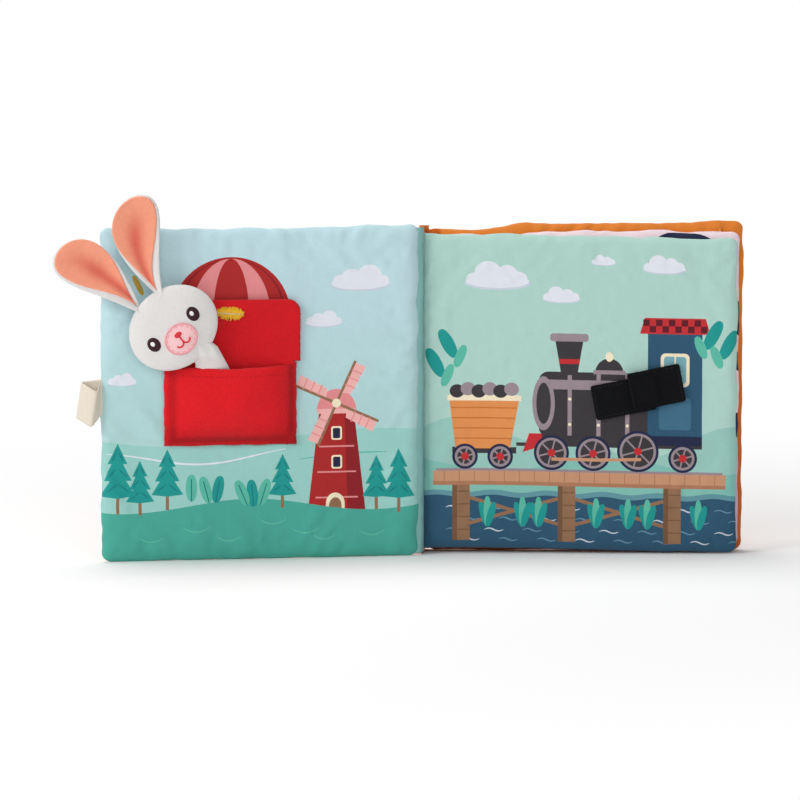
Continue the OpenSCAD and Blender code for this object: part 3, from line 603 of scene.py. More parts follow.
# Materials
def node_material(name, colour, rough, sheen=0.0, grain=(), mottle=0.0, mottle_scale=60.0, strength=0.3):
    """A cloth finish: colour or the piece's ink, and grain as (scale, weight) pairs of fine bumps."""
    m = bpy.data.materials.new(name)
    m.use_nodes = True
    tree = m.node_tree
    new, link = tree.nodes.new, tree.links.new
    shader = tree.nodes["Principled BSDF"]
    shader.inputs["Roughness"].default_value = rough
    shader.inputs["Specular IOR Level"].default_value = 0.2
    shader.inputs["Sheen Weight"].default_value = sheen
    shader.inputs["Sheen Roughness"].default_value = 0.5
    where = new("ShaderNodeTexCoord").outputs["Object"]
    if colour is None:
        ink_node = new("ShaderNodeVertexColor")
        ink_node.layer_name = "ink"
        source = ink_node.outputs["Color"]
    else:
        shader.inputs["Base Color"].default_value = (*colour, 1)
        source = None
    if mottle:
        spots = new("ShaderNodeTexNoise")
        spots.inputs["Scale"].default_value = mottle_scale
        spots.inputs["Detail"].default_value = 5
        link(where, spots.inputs["Vector"])
        span = new("ShaderNodeMapRange")
        span.inputs["To Min"].default_value = 1 - mottle
        span.inputs["To Max"].default_value = 1 + mottle
        link(spots.outputs["Fac"], span.inputs["Value"])
        mix = new("ShaderNodeMix")
        mix.data_type, mix.blend_type = "RGBA", "MULTIPLY"
        mix.inputs["Factor"].default_value = 1
        if source:
            link(source, mix.inputs["A"])
        else:
            mix.inputs["A"].default_value = (*colour, 1)
        link(span.outputs["Result"], mix.inputs["B"])
        source = mix.outputs["Result"]
    if source:
        link(source, shader.inputs["Base Color"])
    previous = None
    for scale, weight in grain:
        noise = new("ShaderNodeTexNoise")
        noise.inputs["Scale"].default_value = scale
        noise.inputs["Detail"].default_value = 3
        link(where, noise.inputs["Vector"])
        bump = new("ShaderNodeBump")
        bump.inputs["Strength"].default_value = strength * weight
        bump.inputs["Distance"].default_value = 0.0006
        link(noise.outputs["Fac"], bump.inputs["Height"])
        if previous:
            link(previous, bump.inputs["Normal"])
        previous = bump.outputs["Normal"]
    if previous:
        link(previous, shader.inputs["Normal"])
    return m


PRINT_CLOTH = node_material("printed_cloth", None, 0.8, 0.12, ((420, 0.8), (1500, 0.6)), 0.035, 150)
FELT = node_material("red_felt", None, 0.95, 0.1, ((700, 1.6), (2200, 1.6)), 0.14, 900, 0.5)
FELT_FUZZ = node_material("red_felt_fibre", paint(232, 52, 58), 0.95, 0.3)
PALE_THREAD = node_material("pale_thread", paint(248, 226, 160), 0.8, 0.2, ((900, 1.0),), 0.1, 900)
YELLOW_FELT = node_material(
    "yellow_thread", paint(252, 196, 30), 0.95, 0.3, ((900, 1.6), (2400, 1.4)), 0.2, 1100, 0.6
)
YELLOW_FUZZ = node_material("yellow_felt_fibre", paint(246, 196, 60), 0.95, 0.3)
VELOUR = node_material(
    "white_velour", paint(222, 219, 217), 0.9, 0.35, ((500, 1.2), (1600, 1.2)), 0.06, 500, 0.4
)
VELOUR_FUZZ = node_material("white_velour_fibre", paint(228, 226, 224), 0.9, 0.3)
CORAL = node_material("coral_velour", None, 0.9, 0.3, ((450, 1.0), (1500, 1.2)), 0.07, 300, 0.4)
TAPE = node_material("cream_tape", paint(222, 211, 196), 0.8, 0.15, ((900, 1.0),), 0.08, 800, 0.4)
HOOKS = node_material(
    "black_hook_loop", paint(8, 9, 13), 0.85, 0.0, ((1400, 2.0), (3200, 1.6)), 0.3, 1600, 0.9
)
HOOK_FUZZ = node_material("black_loop_fibre", paint(20, 21, 27), 0.8, 0.0)
DARK_THREAD = node_material("dark_thread", paint(52, 22, 32), 0.6, 0.1)
RED_THREAD = node_material("red_thread", paint(186, 14, 26), 0.8, 0.1)
WHITE_THREAD = node_material("white_thread", paint(240, 236, 236), 0.7, 0.1)
RED_LINE = node_material("mouth_thread", paint(214, 52, 66), 0.7, 0.1)
ROSE_PALE = node_material("pale_rose_thread", paint(236, 160, 168), 0.7, 0.1)
BLUSH = node_material("blush_thread", paint(246, 198, 200), 0.85, 0.2, ((1200, 1.2),), 0.08, 900, 0.4)
BLACK_THREAD = node_material("black_thread", paint(30, 30, 34), 0.6, 0.0)


# Wrinkles from a simulated pillow of the same cut
def pillow_relief(w, h, seed, cells=54, frames=20):
    """Cloth simulation of the sewn cover over its wadding. Returns the fine relief of its two faces."""
    dice = np.random.default_rng(seed)
    n = cells + 1
    u, v = np.meshgrid(np.linspace(0, 1, n), np.linspace(0, 1, n), indexing="ij")
    depth = 0.003 * (np.clip(np.minimum.reduce([u, 1 - u, v, 1 - v]) * 14, 0, 1)) ** 0.5
    points, faces = [], []
    for side in (-1, 1):
        lumps = dice.normal(0, 0.00035, (n, n)) * (depth > 0)
        y = side * (depth + lumps)
        points += np.stack([u * w * 0.001, y, v * h * 0.001], -1).reshape(-1, 3).tolist()
        faces += grid_faces(n, n, 0 if side < 0 else n * n, flip=side > 0)
    rim = grid_rim(n, n) + [i + n * n for i in grid_rim(n, n)]
    mesh = bpy.data.meshes.new("pillow")
    mesh.from_pydata(points, [], faces)
    cloth_object = bpy.data.objects.new("pillow", mesh)
    bpy.context.scene.collection.objects.link(cloth_object)
    group = cloth_object.vertex_groups.new(name="rim")
    group.add(rim, 1, "REPLACE")
    modifier = cloth_object.modifiers.new("cloth", "CLOTH")
    s = modifier.settings
    s.quality = 5
    s.mass = 0.25
    s.tension_stiffness = s.compression_stiffness = 18
    s.shear_stiffness = 8
    s.bending_stiffness = 0.35
    s.tension_damping = s.compression_damping = 6
    s.vertex_group_mass = "rim"
    s.shrink_min = -0.045
    s.use_pressure = True
    s.uniform_pressure_force = 4
    s.effector_weights.gravity = 0
    modifier.point_cache.frame_start, modifier.point_cache.frame_end = 1, frames
    scene = bpy.context.scene
    for f in range(1, frames + 1):
        scene.frame_set(f)
    view = bpy.context.evaluated_depsgraph_get()
    done = cloth_object.evaluated_get(view).data
    y = vertices(done).reshape(2, n, n, 3)[..., 1] * 1000
    scene.frame_set(1)
    bpy.data.objects.remove(cloth_object)
    out = []
    kernel = np.exp(-0.5 * (np.arange(-9, 10) / 3.5) ** 2)
    kernel /= kernel.sum()
    for k, side in enumerate((-1, 1)):
        field = np.nan_to_num(y[k] * side)
        wide = np.pad(field, 9, mode="edge")
        wide = np.apply_along_axis(lambda r: np.convolve(r, kernel, "valid"), 0, wide)
        wide = np.apply_along_axis(lambda r: np.convolve(r, kernel, "valid"), 1, wide)
        out.append(np.clip(field - wide, -0.9, 0.9))
    return out


def sample(field, x, z, w, h):
    """A square field's value at places on a leaf, between its grid points."""
    n = len(field) - 1
    a, b = np.clip(x / w, 0, 1) * n, np.clip(z / h, 0, 1) * n
    i, j = np.minimum(a.astype(int), n - 1), np.minimum(b.astype(int), n - 1)
    s, t = a - i, b - j
    return (
        field[i, j] * (1 - s) * (1 - t) + field[i + 1, j] * s * (1 - t)
        + field[i, j + 1] * (1 - s) * t + field[i + 1, j + 1] * s * t
    )


class Waves:
    """Uneven waves along a seam or across a face."""

    def __init__(self, seed, short, long, count=14):
        dice = np.random.default_rng(seed)
        self.k = 2 * math.pi / dice.uniform(short, long, count)
        self.phase = dice.uniform(0, 2 * math.pi, count)
        self.turn = dice.uniform(0, 2 * math.pi, count)
        self.size = dice.uniform(0.5, 1, count)
        self.size /= math.sqrt((self.size**2).sum() / 2)

    def along(self, s):
        return (np.sin(np.multiply.outer(s, self.k) + self.phase) * self.size).sum(-1)

    def over(self, x, z):
        along_x = np.multiply.outer(x, self.k * np.cos(self.turn))
        along_z = np.multiply.outer(z, self.k * np.sin(self.turn))
        return (np.sin(along_x + along_z + self.phase) * self.size).sum(-1)


class Leaf:
    """A padded leaf of two sewn faces around wadding."""

    def __init__(self, name, w, h, t, r, bend, place, body, seed, puckers, creases, bound=False):
        self.name, self.w, self.h, self.t, self.r = name, w, h, t, r
        self.bend, self.place, self.body, self.seed = bend, place, body, seed
        self.puckers, self.creases, self.bound = puckers, creases, bound
        self.fine, self.coarse = Waves(seed, 9, 24), Waves(seed + 1, 24, 70)
        self.calm, self.broad = Waves(seed + 2, 50, 140), Waves(seed + 3, 34, 90)
        self.broad.turn = math.radians(-48) + (self.broad.turn - math.pi) * 0.22
        self.relief = [np.zeros((2, 2))] * 2

    def depth(self, x, z, extra=0.0):
        """Distance from the seam, on an outline whose corners are rounder by extra."""
        r = np.where((x < self.w / 2) & self.bound, 0.8, self.r) + extra
        qx = np.abs(x - self.w / 2) - (self.w / 2 - r)
        qz = np.abs(z - self.h / 2) - (self.h / 2 - r)
        return r - np.hypot(np.maximum(qx, 0), np.maximum(qz, 0)) - np.minimum(np.maximum(qx, qz), 0)

    def inset(self, x, z):
        """Distance from the seam, with the corners rounded off further in."""
        near = self.depth(x, z)
        round_one = self.depth(x, z, 12)
        return np.maximum(near + (round_one - near) * smooth(near / 14), 0)

    def sides(self, x, z):
        """Distances to the foot, the right side, the head and the left side."""
        return np.stack([z, self.w - x, self.h - z, x])

    def along(self, x, z):
        """Place along the seam of the nearest point on it, and how far it is from a corner."""
        gaps = self.sides(x, z)
        side = gaps.argmin(0)
        run = np.stack([x, self.w + z, self.w + self.h + self.w - x, 2 * self.w + 2 * self.h - z])
        ordered = np.sort(gaps, axis=0)
        return np.take_along_axis(run, side[None], 0)[0], ordered[1] - ordered[0]

    def ripple(self, x, z, side):
        """Puckers of the cloth beside the seam."""
        s, clear = self.along(x, z)
        d = self.inset(x, z)
        calm = np.clip(0.6 + 0.55 * self.calm.along(s + 40 * side), 0.1, 1.5)
        lean = 0.5 * np.sin(s / 29)
        fine = np.tanh(1.2 * self.fine.along(s + 23 * side + d * lean))
        coarse = self.coarse.along(s + 31 * side + d * lean)
        near = np.exp(-(((d - 4.0) / 3.2) ** 2)) + 0.55 * np.exp(-(((d - 10) / 6) ** 2))
        far = np.exp(-(((d - 9) / 8) ** 2))
        return self.puckers * smooth(clear / 12) * (near * fine * calm + 0.8 * far * coarse)

    def surface(self, x, z, side):
        """Height of a face over the leaf's middle plane."""
        d = self.inset(x, z)
        rise = np.sqrt(np.clip(1 - (1 - np.minimum(d / 14, 1)) ** 2, 0, 1))
        field = self.relief[0 if side < 0 else 1]
        wrinkle_relief_and_painted_shade = sample(field, x, z, self.w, self.h) * smooth(d / 5) * 0.75
        broad = self.creases * np.tanh(self.broad.over(x + 60 * side, z)) * rise
        y = (self.t / 2) * rise + self.ripple(x, z, side) + wrinkle_relief_and_painted_shade + broad
        return np.maximum(y, 0.12 * smooth(d / 1.0))

    def pulled(self, x, z):
        """The seam is drawn in unevenly and takes the cloth beside it along."""
        s, clear = self.along(x, z)
        gaps = self.sides(x, z)
        side = gaps.argmin(0)
        pull = (0.4 + 0.3 * self.coarse.along(s) + 0.1 * self.fine.along(s + 23)) * smooth(clear / 14)
        pull = np.clip(pull, -0.3, 1.3) * np.exp(-np.maximum(gaps.min(0), 0) / 9)
        left = 0.0 if self.bound else 1.0
        return x + pull * (left * (side == 3) - (side == 1)), z + pull * (0.4 * (side == 0) - (side == 2))

    def outline(self, d):
        """The leaf's outline, drawn in by d. A bound leaf has no round corners at its binding."""
        ring = round_box(d, d, self.w - d, self.h - d, max(self.r - d * 0.4, 2.5), 9)
        if self.bound:
            ring = np.concatenate([[(d, d)], ring[:20], [(d, self.h - d)]])
        return ring

    def build(self, pictures, bases, replaced):
        """Both faces as one closed mesh, painted with a picture each over a colour from low to high."""
        rim = resample(self.outline(0), 1.5)
        insets = (0.4, 1.1, 2.1, 3.3, 4.8, 6.6, 8.6)
        rings = [resample(self.outline(d), 1.5 + 0.08 * k) for k, d in enumerate(insets)]
        middle = scatter((10, 10), (self.w - 10, self.h - 10), 2.3, self.seed)
        inner = np.concatenate(rings + [middle])
        points, faces, colours = [], [], []
        for side, picture, base in ((-1, pictures[0], bases[0]), (1, pictures[1], bases[1])):
            shapes = [resample(shape, 2.6) for shape, _ in picture]
            p, t, top, edge = triangulate(rim, inner, shapes)
            x, z = p.T
            y = self.surface(x, z, side)
            y[edge] = 0
            mid_z = z[t].mean(1)
            x, z = self.pulled(x, z)
            start = len(points)
            points += np.stack([x, side * y, self.bend(x, z)], 1).tolist()
            low, high = (np.array(c) for c in base)
            paints = np.array([np.zeros(3)] + [c for _, c in picture])
            shade = smooth((mid_z - 40) / 150)[:, None]
            colours.append(np.where((top == 0)[:, None], low + (high - low) * shade, paints[top]))
            faces += [tuple(start + f[::-1 if side > 0 else 1]) for f in t]
        piece = make(self.name, points, faces, PRINT_CLOTH, None, self.place)
        ink(piece, np.concatenate(colours))
        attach(piece, self.body)
        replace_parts(piece, *replaced)


def prints(*names):
    return ["print_" + name for name in names]


COVER_PRINTS = prints(
    "far_hills", "near_hills", "clouds", "trees", "trunks", "balloon", "balloon_stripes", "mill", "sails"
)
PAGE_PRINTS = prints(
    "lake", "deck", "posts", "engine", "cab", "wheels", "roof_band", "wagon", "smoke", "reeds"
)

COVER_SIZE = (COVER_W, COVER_H, COVER_T, COVER_R)
PAGE_SIZE = (PAGE_W, PAGE_H, PAGE_T, PAGE_R)
front = Leaf("front_cover_leaf", *COVER_SIZE, cover_bend, on_front, "front_cover", 11, 0.4, 0.55)
back = Leaf("back_cover_leaf", *COVER_SIZE, back_cover_bend, on_back, "back_cover", 31, 0.5, 0.5)
page_one = Leaf("first_page_leaf", *PAGE_SIZE, page_bend, on_page(0), "book_block", 51, 0.26, 0.24, True)
page_two = Leaf(
    "second_page_leaf", *PAGE_SIZE, second_page_bend, on_page(1), "book_block", 71, 0.26, 0.24, True
)
cover_relief = pillow_relief(COVER_W, COVER_H, 3)
page_relief = pillow_relief(PAGE_W, PAGE_H, 5)
front.relief, back.relief = cover_relief, [f[::-1, :] for f in cover_relief]
page_one.relief, page_two.relief = page_relief, [f[::-1, :] for f in page_relief]

front.build(
    (cover_picture(), back_picture()), ((SKY_LOW, SKY_TOP), (ORANGE, ORANGE)),
    ["front_cover_inner_panel", "front_cover_outer_panel", *COVER_PRINTS],
)
back.build(
    (back_picture(), back_picture()), ((ORANGE_DEEP, ORANGE), (ORANGE, ORANGE)),
    ["back_cover_inner_panel", "back_cover_outer_panel"],
)
page_one.build(
    (train_picture(), []), ((MINT, MINT), (PAGE_BACK, PAGE_BACK)), ["pages", *PAGE_PRINTS]
)
page_two.build(
    (pink_picture(), []), ((PINK_PAGE, PINK_PAGE), (YELLOW_PAGE, YELLOW_PAGE)),
    ["print_pink_page"],
)


# Cloth across the hinges and round the spine
def strip(name, path, low, high, colour, seed, step=3.0, lift=0.25):
    """A strip of cloth that stands on its edge and follows a path in the ground plane."""
    p = eased(resample(path, 1.0, closed=False), 3)
    n = normals_along(p)
    waves = Waves(seed, 9, 26)
    zs = np.arange(low, high + step / 2, step)
    fade = np.sin(np.linspace(0, math.pi, len(p)))
    points = []
    for z in zs:
        across = waves.over(np.arange(len(p)) * 1.0, np.full(len(p), z))
        points += [(a, b, z) for a, b in p + n * (lift * across * fade)[:, None]]
    piece = make(name, points, grid_faces(len(zs), len(p)), PRINT_CLOTH, None)
    ink(piece, np.tile(np.array(colour), (len(points), 1)))
    length = float(np.hypot(*np.diff(p, axis=0).T).sum())
    return piece, (length * 0.001, (high - low) * 0.001)


def fold(name, path, low, high, colour, seed):
    """A curved strip between the spine and a cover, with its place baked into its points."""
    piece, flat = strip(name, path, low, high, colour, seed)
    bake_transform(piece)


spine_piece, spine_flat = strip(
    "spine_cloth", [(-1.6, -11.4), (-1.8, -8), (-1.8, 0), (-1.6, 8), (-1.2, 11.6)], 0.4, 201.6, ORANGE_DEEP, 5
)
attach(spine_piece, "book_block")
fold(
    "gutter_cloth",
    [(-5.8, -14.0), (-3.4, -13.6), (-1.7, -12.8), (-0.8, -11.0), (-0.5, -8.2), (-0.3, -6.0), (0.1, -4.4)],
    1.4, 204.0, TEAL_PALE, 6,
)
fold(
    "front_fold_cloth",
    [(-9.7, -11.3), (-6.4, -11.8), (-4.4, -12.1), (-3.0, -12.2), (-2.2, -11.8), (-1.4, -10.8), (-1.3, -9.4)],
    0.8, 204.2, ORANGE, 7,
)
fold(
    "back_fold_cloth",
    [(3.0, 15.2), (0.4, 15.0), (-1.6, 14.9), (-3.0, 14.0), (-3.2, 12.6), (-2.2, 11.2), (-1.4, 9.6)],
    0.6, 204.4, ORANGE, 8,
)
fold(
    "back_gutter_cloth", [(9.6, 10.2), (3.2, 10.9), (1.4, 10.8), (0.9, 9.6), (0.8, 7.6)],
    1.4, 203.6, ORANGE_DEEP, 9,
)


# Stitches and fibres
def ring(centre, across, up, count=6):
    """Points round a thread, from its two half axes."""
    return [centre + across * math.cos(q) + up * math.sin(q) for q in np.arange(count) * 2 * math.pi / count]


def stitches(name, path, normals, length, gap, width, material, body):
    """Short threads along a path, each a low ridge that dips into the cloth at both ends."""
    p, n = np.asarray(path, float), np.asarray(normals, float)
    steps = np.r_[0, np.cumsum(np.linalg.norm(np.diff(p, axis=0), axis=1))]
    sections = ((0, -0.2, 0.5), (0.2, 0.25, 0.9), (0.5, 0.4, 1.0), (0.8, 0.25, 0.9), (1, -0.2, 0.5))

    def along(values, s):
        return np.array([np.interp(s, steps, values[:, k]) for k in range(3)])

    points, faces = [], []
    at = gap
    while at + length < steps[-1]:
        start = len(points)
        for share, lift, wide in sections:
            s = at + length * share
            centre, normal = along(p, s), along(n, s)
            side = np.cross(along(p, s + 0.2) - centre, normal)
            side /= max(np.linalg.norm(side), 1e-9)
            w = width / 2 * wide
            points += ring(centre + normal * (lift * width), side * w, normal * w * 0.8)
        faces += grid_faces(len(sections), 6, start, wrap=True)
        at += length + gap
    return make(name, points, faces, material, body)


def surface_samples(piece, count, seed):
    """Random places on a piece with their normals, in millimetres of the shared frame."""
    mesh = piece.data
    mesh.calc_loop_triangles()
    co = vertices(mesh)
    no = np.array([v.normal for v in mesh.vertices])
    t = np.array([x.vertices for x in mesh.loop_triangles])
    a, b, c = co[t[:, 0]], co[t[:, 1]], co[t[:, 2]]
    area = np.linalg.norm(np.cross(b - a, c - a), axis=1)
    dice = np.random.default_rng(seed)
    pick = dice.choice(len(t), count, p=area / area.sum())
    u, v = dice.random(count), dice.random(count)
    flip = u + v > 1
    u[flip], v[flip] = 1 - u[flip], 1 - v[flip]
    place = a[pick] + (b - a)[pick] * u[:, None] + (c - a)[pick] * v[:, None]
    shares = (1 - u - v, u, v)
    normal = sum(no[t[pick, k]] * share[:, None] for k, share in enumerate(shares))
    return place * 1000, normal / np.maximum(np.linalg.norm(normal, axis=1), 1e-9)[:, None]


def fibres(name, piece, count, length, width, material, body, seed, lean=0.8):
    """Loose single fibres that stand off a felt or velour surface."""
    place, normal = surface_samples(piece, count, seed)
    dice = np.random.default_rng(seed + 1)
    out = normal + dice.normal(0, lean, place.shape)
    out /= np.linalg.norm(out, axis=1)[:, None]
    out = out + normal * 0.35
    side = np.cross(out, dice.normal(0, 1, place.shape))
    side /= np.maximum(np.linalg.norm(side, axis=1), 1e-9)[:, None]
    size = length * dice.uniform(0.5, 1.3, len(place))[:, None]
    points = np.concatenate([place - side * width / 2, place + side * width / 2, place + out * size])
    k = len(place)
    faces = [(i, i + k, i + 2 * k) for i in range(k)]
    return make(name, points, faces, material, body, flat=True)


# Felt pocket
def pocket_surface(u, v):
    """The felt at a share of the pocket's width and height: flat along its seams, full between them."""
    near_rim, far_rim, foot_rim = POCKET_RIMS
    a = np.clip((u * POCKET_W - near_rim) / (POCKET_W - near_rim - far_rim), 0, 1)
    b = np.clip((v * POCKET_H - foot_rim) / (POCKET_H - foot_rim), 0, 1)
    full = np.sin(np.pi * a) ** 0.75 * np.sin(0.78 * np.pi * b) ** 0.8
    dip = POCKET_DIP * np.sin(np.pi * (0.08 + 0.84 * u)) ** 0.7 * v**2
    corner = 1.2 * v * smooth((0.07 - u) / 0.06)
    return POCKET_X + POCKET_W * u, POCKET_OPEN * full, POCKET_Z + POCKET_H * v - dip + corner


def pocket():
    rows, cols = 56, 84
    v, u = np.meshgrid(np.linspace(0, 1, rows), np.linspace(0, 1, cols), indexing="ij")
    wave = Waves(91, 16, 40)
    x, bulge, z = pocket_surface(u, v)
    ripple = 0.4 * wave.over(x, z) * np.sin(np.pi * u) * np.sin(np.pi * v) ** 0.5
    near, far, foot, mouth = u * POCKET_W, (1 - u) * POCKET_W, v * POCKET_H, (1 - v) * POCKET_H
    edge = np.minimum.reduce([near, far, foot, mouth])
    press = 0.2 * np.exp(-(((mouth - MOUTH_STITCH) / 0.9) ** 2))
    roundness = 0.45 * FELT_T * (1 - smooth(edge / 0.9))
    outer = -STACK_Y - bulge - FELT_T - ripple + press + roundness
    inner = -STACK_Y - bulge - ripple - roundness * 0.6
    rag, drift = Waves(92, 1.5, 7), Waves(94, 12, 40)
    frayed = 0.07 * rag.along(x + 3 * z) + 0.12 * drift.along(x + 2 * z)
    xf = x + np.where((near < 0.5) | (far < 0.5), frayed, 0)
    zf = z + np.where((foot < 0.5) | (mouth < 0.5), frayed, 0)
    points = np.concatenate([np.stack([xf, y, zf], -1).reshape(-1, 3) for y in (outer, inner)])
    piece = make("pocket", points, double_faces(rows, cols), FELT, "front_cover", on_front)
    near_rim, far_rim, foot_rim = POCKET_RIMS
    # Painted shade: the felt is darkened in the creases just inside its seams, towards its foot and towards
    # the binding side.
    off_rim = np.minimum.reduce([near - near_rim, far - far_rim, foot - foot_rim])
    seam_crease_shade = 0.3 * np.exp(-(((off_rim - 0.8) / 2.2) ** 2))
    wrinkle_relief_and_painted_shade = seam_crease_shade + 0.22 * smooth((0.34 - v) / 0.3) + 0.16 * smooth((0.3 - u) / 0.28)
    tone = np.array(RED_FELT) * (1 - np.clip(wrinkle_relief_and_painted_shade, 0, 0.5))[..., None]
    ink(piece, np.concatenate([tone.reshape(-1, 3)] * 2))
    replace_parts(piece, "pocket")
    fibres("pocket_fibres", piece, 5200, 1.0, 0.09, FELT_FUZZ, "front_cover", 21)

    def seam(us, vs, name):
        x, bulge, z = pocket_surface(us, vs)
        line = on_front(np.stack([x, -STACK_Y - bulge - FELT_T + 0.12, z], 1))
        normals = np.tile([0.16, -0.98, 0], (len(line), 1))
        stitches(name, line, normals, 1.7, 1.3, 0.42, RED_THREAD, "front_cover")

    near_rim, far_rim, foot_rim = (0.8 * rim for rim in POCKET_RIMS)
    t = np.linspace(0, 1, 80)
    low, left, right = foot_rim / POCKET_H, near_rim / POCKET_W, 1 - far_rim / POCKET_W
    seam(np.full(80, left), low + (1 - low) * t, "pocket_seam_hinge_side")
    seam(np.full(80, right), low + (1 - low) * t, "pocket_seam_fore_side")
    seam(left + (right - left) * t, np.full(80, low), "pocket_seam_foot")
    seam(left + (right - left) * t, np.full(80, 1 - MOUTH_STITCH / POCKET_H), "pocket_seam_mouth")


pocket()


# Thin cut shapes: flap, patch, ears, strap
def cut_piece(name, outline, thick, material, body, place, step, bend, edge, seed, rag=0.0):
    """A cut piece with rounded edges. bend places its middle, in the leaf's own plane."""
    rim = resample(outline, min(step, 1.2))
    if rag:
        w = Waves(seed, 2, 5)
        s = np.arange(len(rim)) * 1.2
        d = rim - rim.mean(0)
        rim = rim + d / np.hypot(d[:, 0], d[:, 1])[:, None] * (rag * w.along(s))[:, None]
    inner = scatter(rim.min(0), rim.max(0), step, seed)
    inner = inner[inside(inner, rim)]
    inner = inner[edge_distance(inner, rim) > 0.35]
    centre = rim.mean(0)
    rings = [centre + (rim - centre) * f for f in (0.975, 0.93)]
    p, t, _, on_edge = triangulate(rim, np.concatenate([inner] + rings))
    d = edge_distance(p, rim)
    d[on_edge] = 0
    half = thick / 2 * np.sqrt(np.clip(1 - (1 - np.minimum(d / edge, 1)) ** 2, 0, 1))
    middle = bend(p[:, 0], p[:, 1], d)
    n = len(p)
    points = np.concatenate([np.stack([p[:, 0], y, p[:, 1]], 1) for y in (middle - half, middle + half)])
    under = np.arange(n) + n
    under[on_edge] = np.arange(n)[on_edge]
    faces = np.concatenate([t, under[t][:, ::-1]])
    used = np.unique(faces)
    back_to = np.full(2 * n, -1)
    back_to[used] = np.arange(len(used))
    return make(name, points[used], back_to[faces], material, body, place)


def flap():
    w, h, r = FLAP_W, FLAP_H, FLAP_R
    foot = [(0, 0), (3.5, 0), (3.5, -FLAP_TUCK), (w - 4, -FLAP_TUCK), (w - 4, 0), (w, 0)]
    head = [*arc(w - r, h - r, r, r, 0, 90, 9), *arc(r, h - r, r, r, 90, 180, 9)]
    outline = np.array(foot + head) + (FLAP_X, FLAP_Z)
    wave = Waves(93, 24, 60)

    def lie(x, z, d):
        up = np.clip((z - FLAP_Z) / FLAP_H, 0, 1)
        swell = 0.3 * np.abs(wave.over(x, z)) * smooth(up * 4)
        off = swell + 1.3 * smooth(up * 1.6 - 0.4) * (1 - smooth(d / 16))
        return -STACK_Y - FELT_T / 2 - off

    piece = cut_piece(
        "pocket_flap", outline, FELT_T, FELT, "front_cover", on_front, 1.8, lie, 0.7, 31, rag=0.1
    )
    ink(piece, np.tile(np.array(RED_FELT) * 0.86, (len(piece.data.vertices), 1)))
    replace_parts(piece, "pocket_flap")
    fibres("flap_fibres", piece, 3600, 1.0, 0.09, FELT_FUZZ, "front_cover", 33)
    cx, cz, turn, length, wide = FLAP_X + w * 0.55, FLAP_Z + h * 0.785, math.radians(4), 17.0, 7.0
    patch = cut_piece(
        "flap_patch", oval(cx, cz, length / 2, wide * 0.3, turn), 0.7, PALE_THREAD, "front_cover", on_front,
        0.9, lambda x, z, d: lie(x, z, 9 + d) - FELT_T / 2 - 0.5, 0.5, 32, rag=0.08,
    )
    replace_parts(patch, "flap_patch")
    dice = np.random.default_rng(37)
    points, faces = [], []
    for row, lift in ((1, 1.0), (-1, 1.0), (1, 1.25), (-1, 1.25)):
        for along in np.arange(-length / 2 + 0.4, length / 2 - 0.3, 0.42):
            full = math.sqrt(max(1 - (2 * along / length) ** 2, 0.02))
            inner = row * full * wide * (0.06 if row > 0 else 0.16) * dice.uniform(0.6, 1.3)
            outer = row * full * wide * 0.5 * dice.uniform(0.8, 1.3) + row * 0.3
            slip = dice.uniform(-0.8, 0.8)
            middle = (along + slip * 0.5, (inner + outer) / 2, lift + 0.35)
            start = len(points)
            for a, b, up in ((along, inner, lift), middle, (along + slip, outer, 0.1)):
                dx, dz = turned(a, b, turn)
                x, z = cx + dx, cz + dz
                centre = np.array([x, float(lie(np.array(x), np.array(z), 9.0)) - FELT_T / 2 - up, z])
                points += ring(centre, np.array([0.3, 0, 0]), np.array([0, 0.24, 0]), 5)
            faces += grid_faces(3, 5, start, wrap=True)
    threads = make("patch_threads", points, faces, YELLOW_FELT, "front_cover", on_front)
    fibres("patch_fibres", patch, 500, 1.6, 0.12, YELLOW_FUZZ, "front_cover", 34, 1.0)


flap()


# Rabbit finger puppet
HEAD_WAVES = Waves(61, 14, 34)
EYE_SIZE, EYE_LIGHT = (3.9, 4.7), (1.25, 1.55)
MUZZLE = (0.8, -7.5, 10.7, 9.8)


def on_head(p):
    """From the head's own axes to the shared frame."""
    p = np.asarray(p, float)
    x, z = turned(p[:, 0], p[:, 2], -HEAD_TILT)
    return on_front(np.stack([HEAD_X + x, HEAD_Y + p[:, 1], HEAD_Z + z], 1))


def head_height(x, z, side):
    """Half the head's depth at a place on it, with the snout in front."""
    rho = np.sqrt((x / (HEAD_W / 2)) ** 2 + (z / (HEAD_H / 2)) ** 2)
    rise = np.clip(1 - rho**2.3, 0, 1) ** 0.55
    snout = 1.2 * np.exp(-(((x / 11) ** 2 + ((z + 6) / 9) ** 2) ** 1.5)) if side < 0 else 0
    seam = 0.2 * HEAD_WAVES.over(x, z) * rise
    return HEAD_T / 2 * rise + snout + seam


def head():
    rows, cols = 22, 72
    q = np.arange(cols) * 2 * math.pi / cols
    points, faces = [], []
    for side in (-1, 1):
        start = len(points)
        for i in range(rows):
            rho = 1 - (1 - i / rows) ** 1.6
            x, z = rho * HEAD_W / 2 * np.cos(q), rho * HEAD_H / 2 * np.sin(q)
            points += np.stack([x, side * head_height(x, z, side), z], 1).tolist()
        faces += grid_faces(rows, cols, start, flip=side < 0, wrap=True)
        if side < 0:
            rim = len(points)
            points += np.stack([HEAD_W / 2 * np.cos(q), 0 * q, HEAD_H / 2 * np.sin(q)], 1).tolist()
        last = start + (rows - 1) * cols
        for k in range(cols):
            m = (k + 1) % cols
            face = (last + k, last + m, rim + m, rim + k)
            faces.append(face[::-1] if side < 0 else face)
    piece = make("puppet_head", points, faces, VELOUR, "front_cover", on_head)
    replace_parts(piece, "puppet_head")
    fibres("head_fibres", piece, 6500, 0.8, 0.07, VELOUR_FUZZ, "front_cover", 62, 0.6)


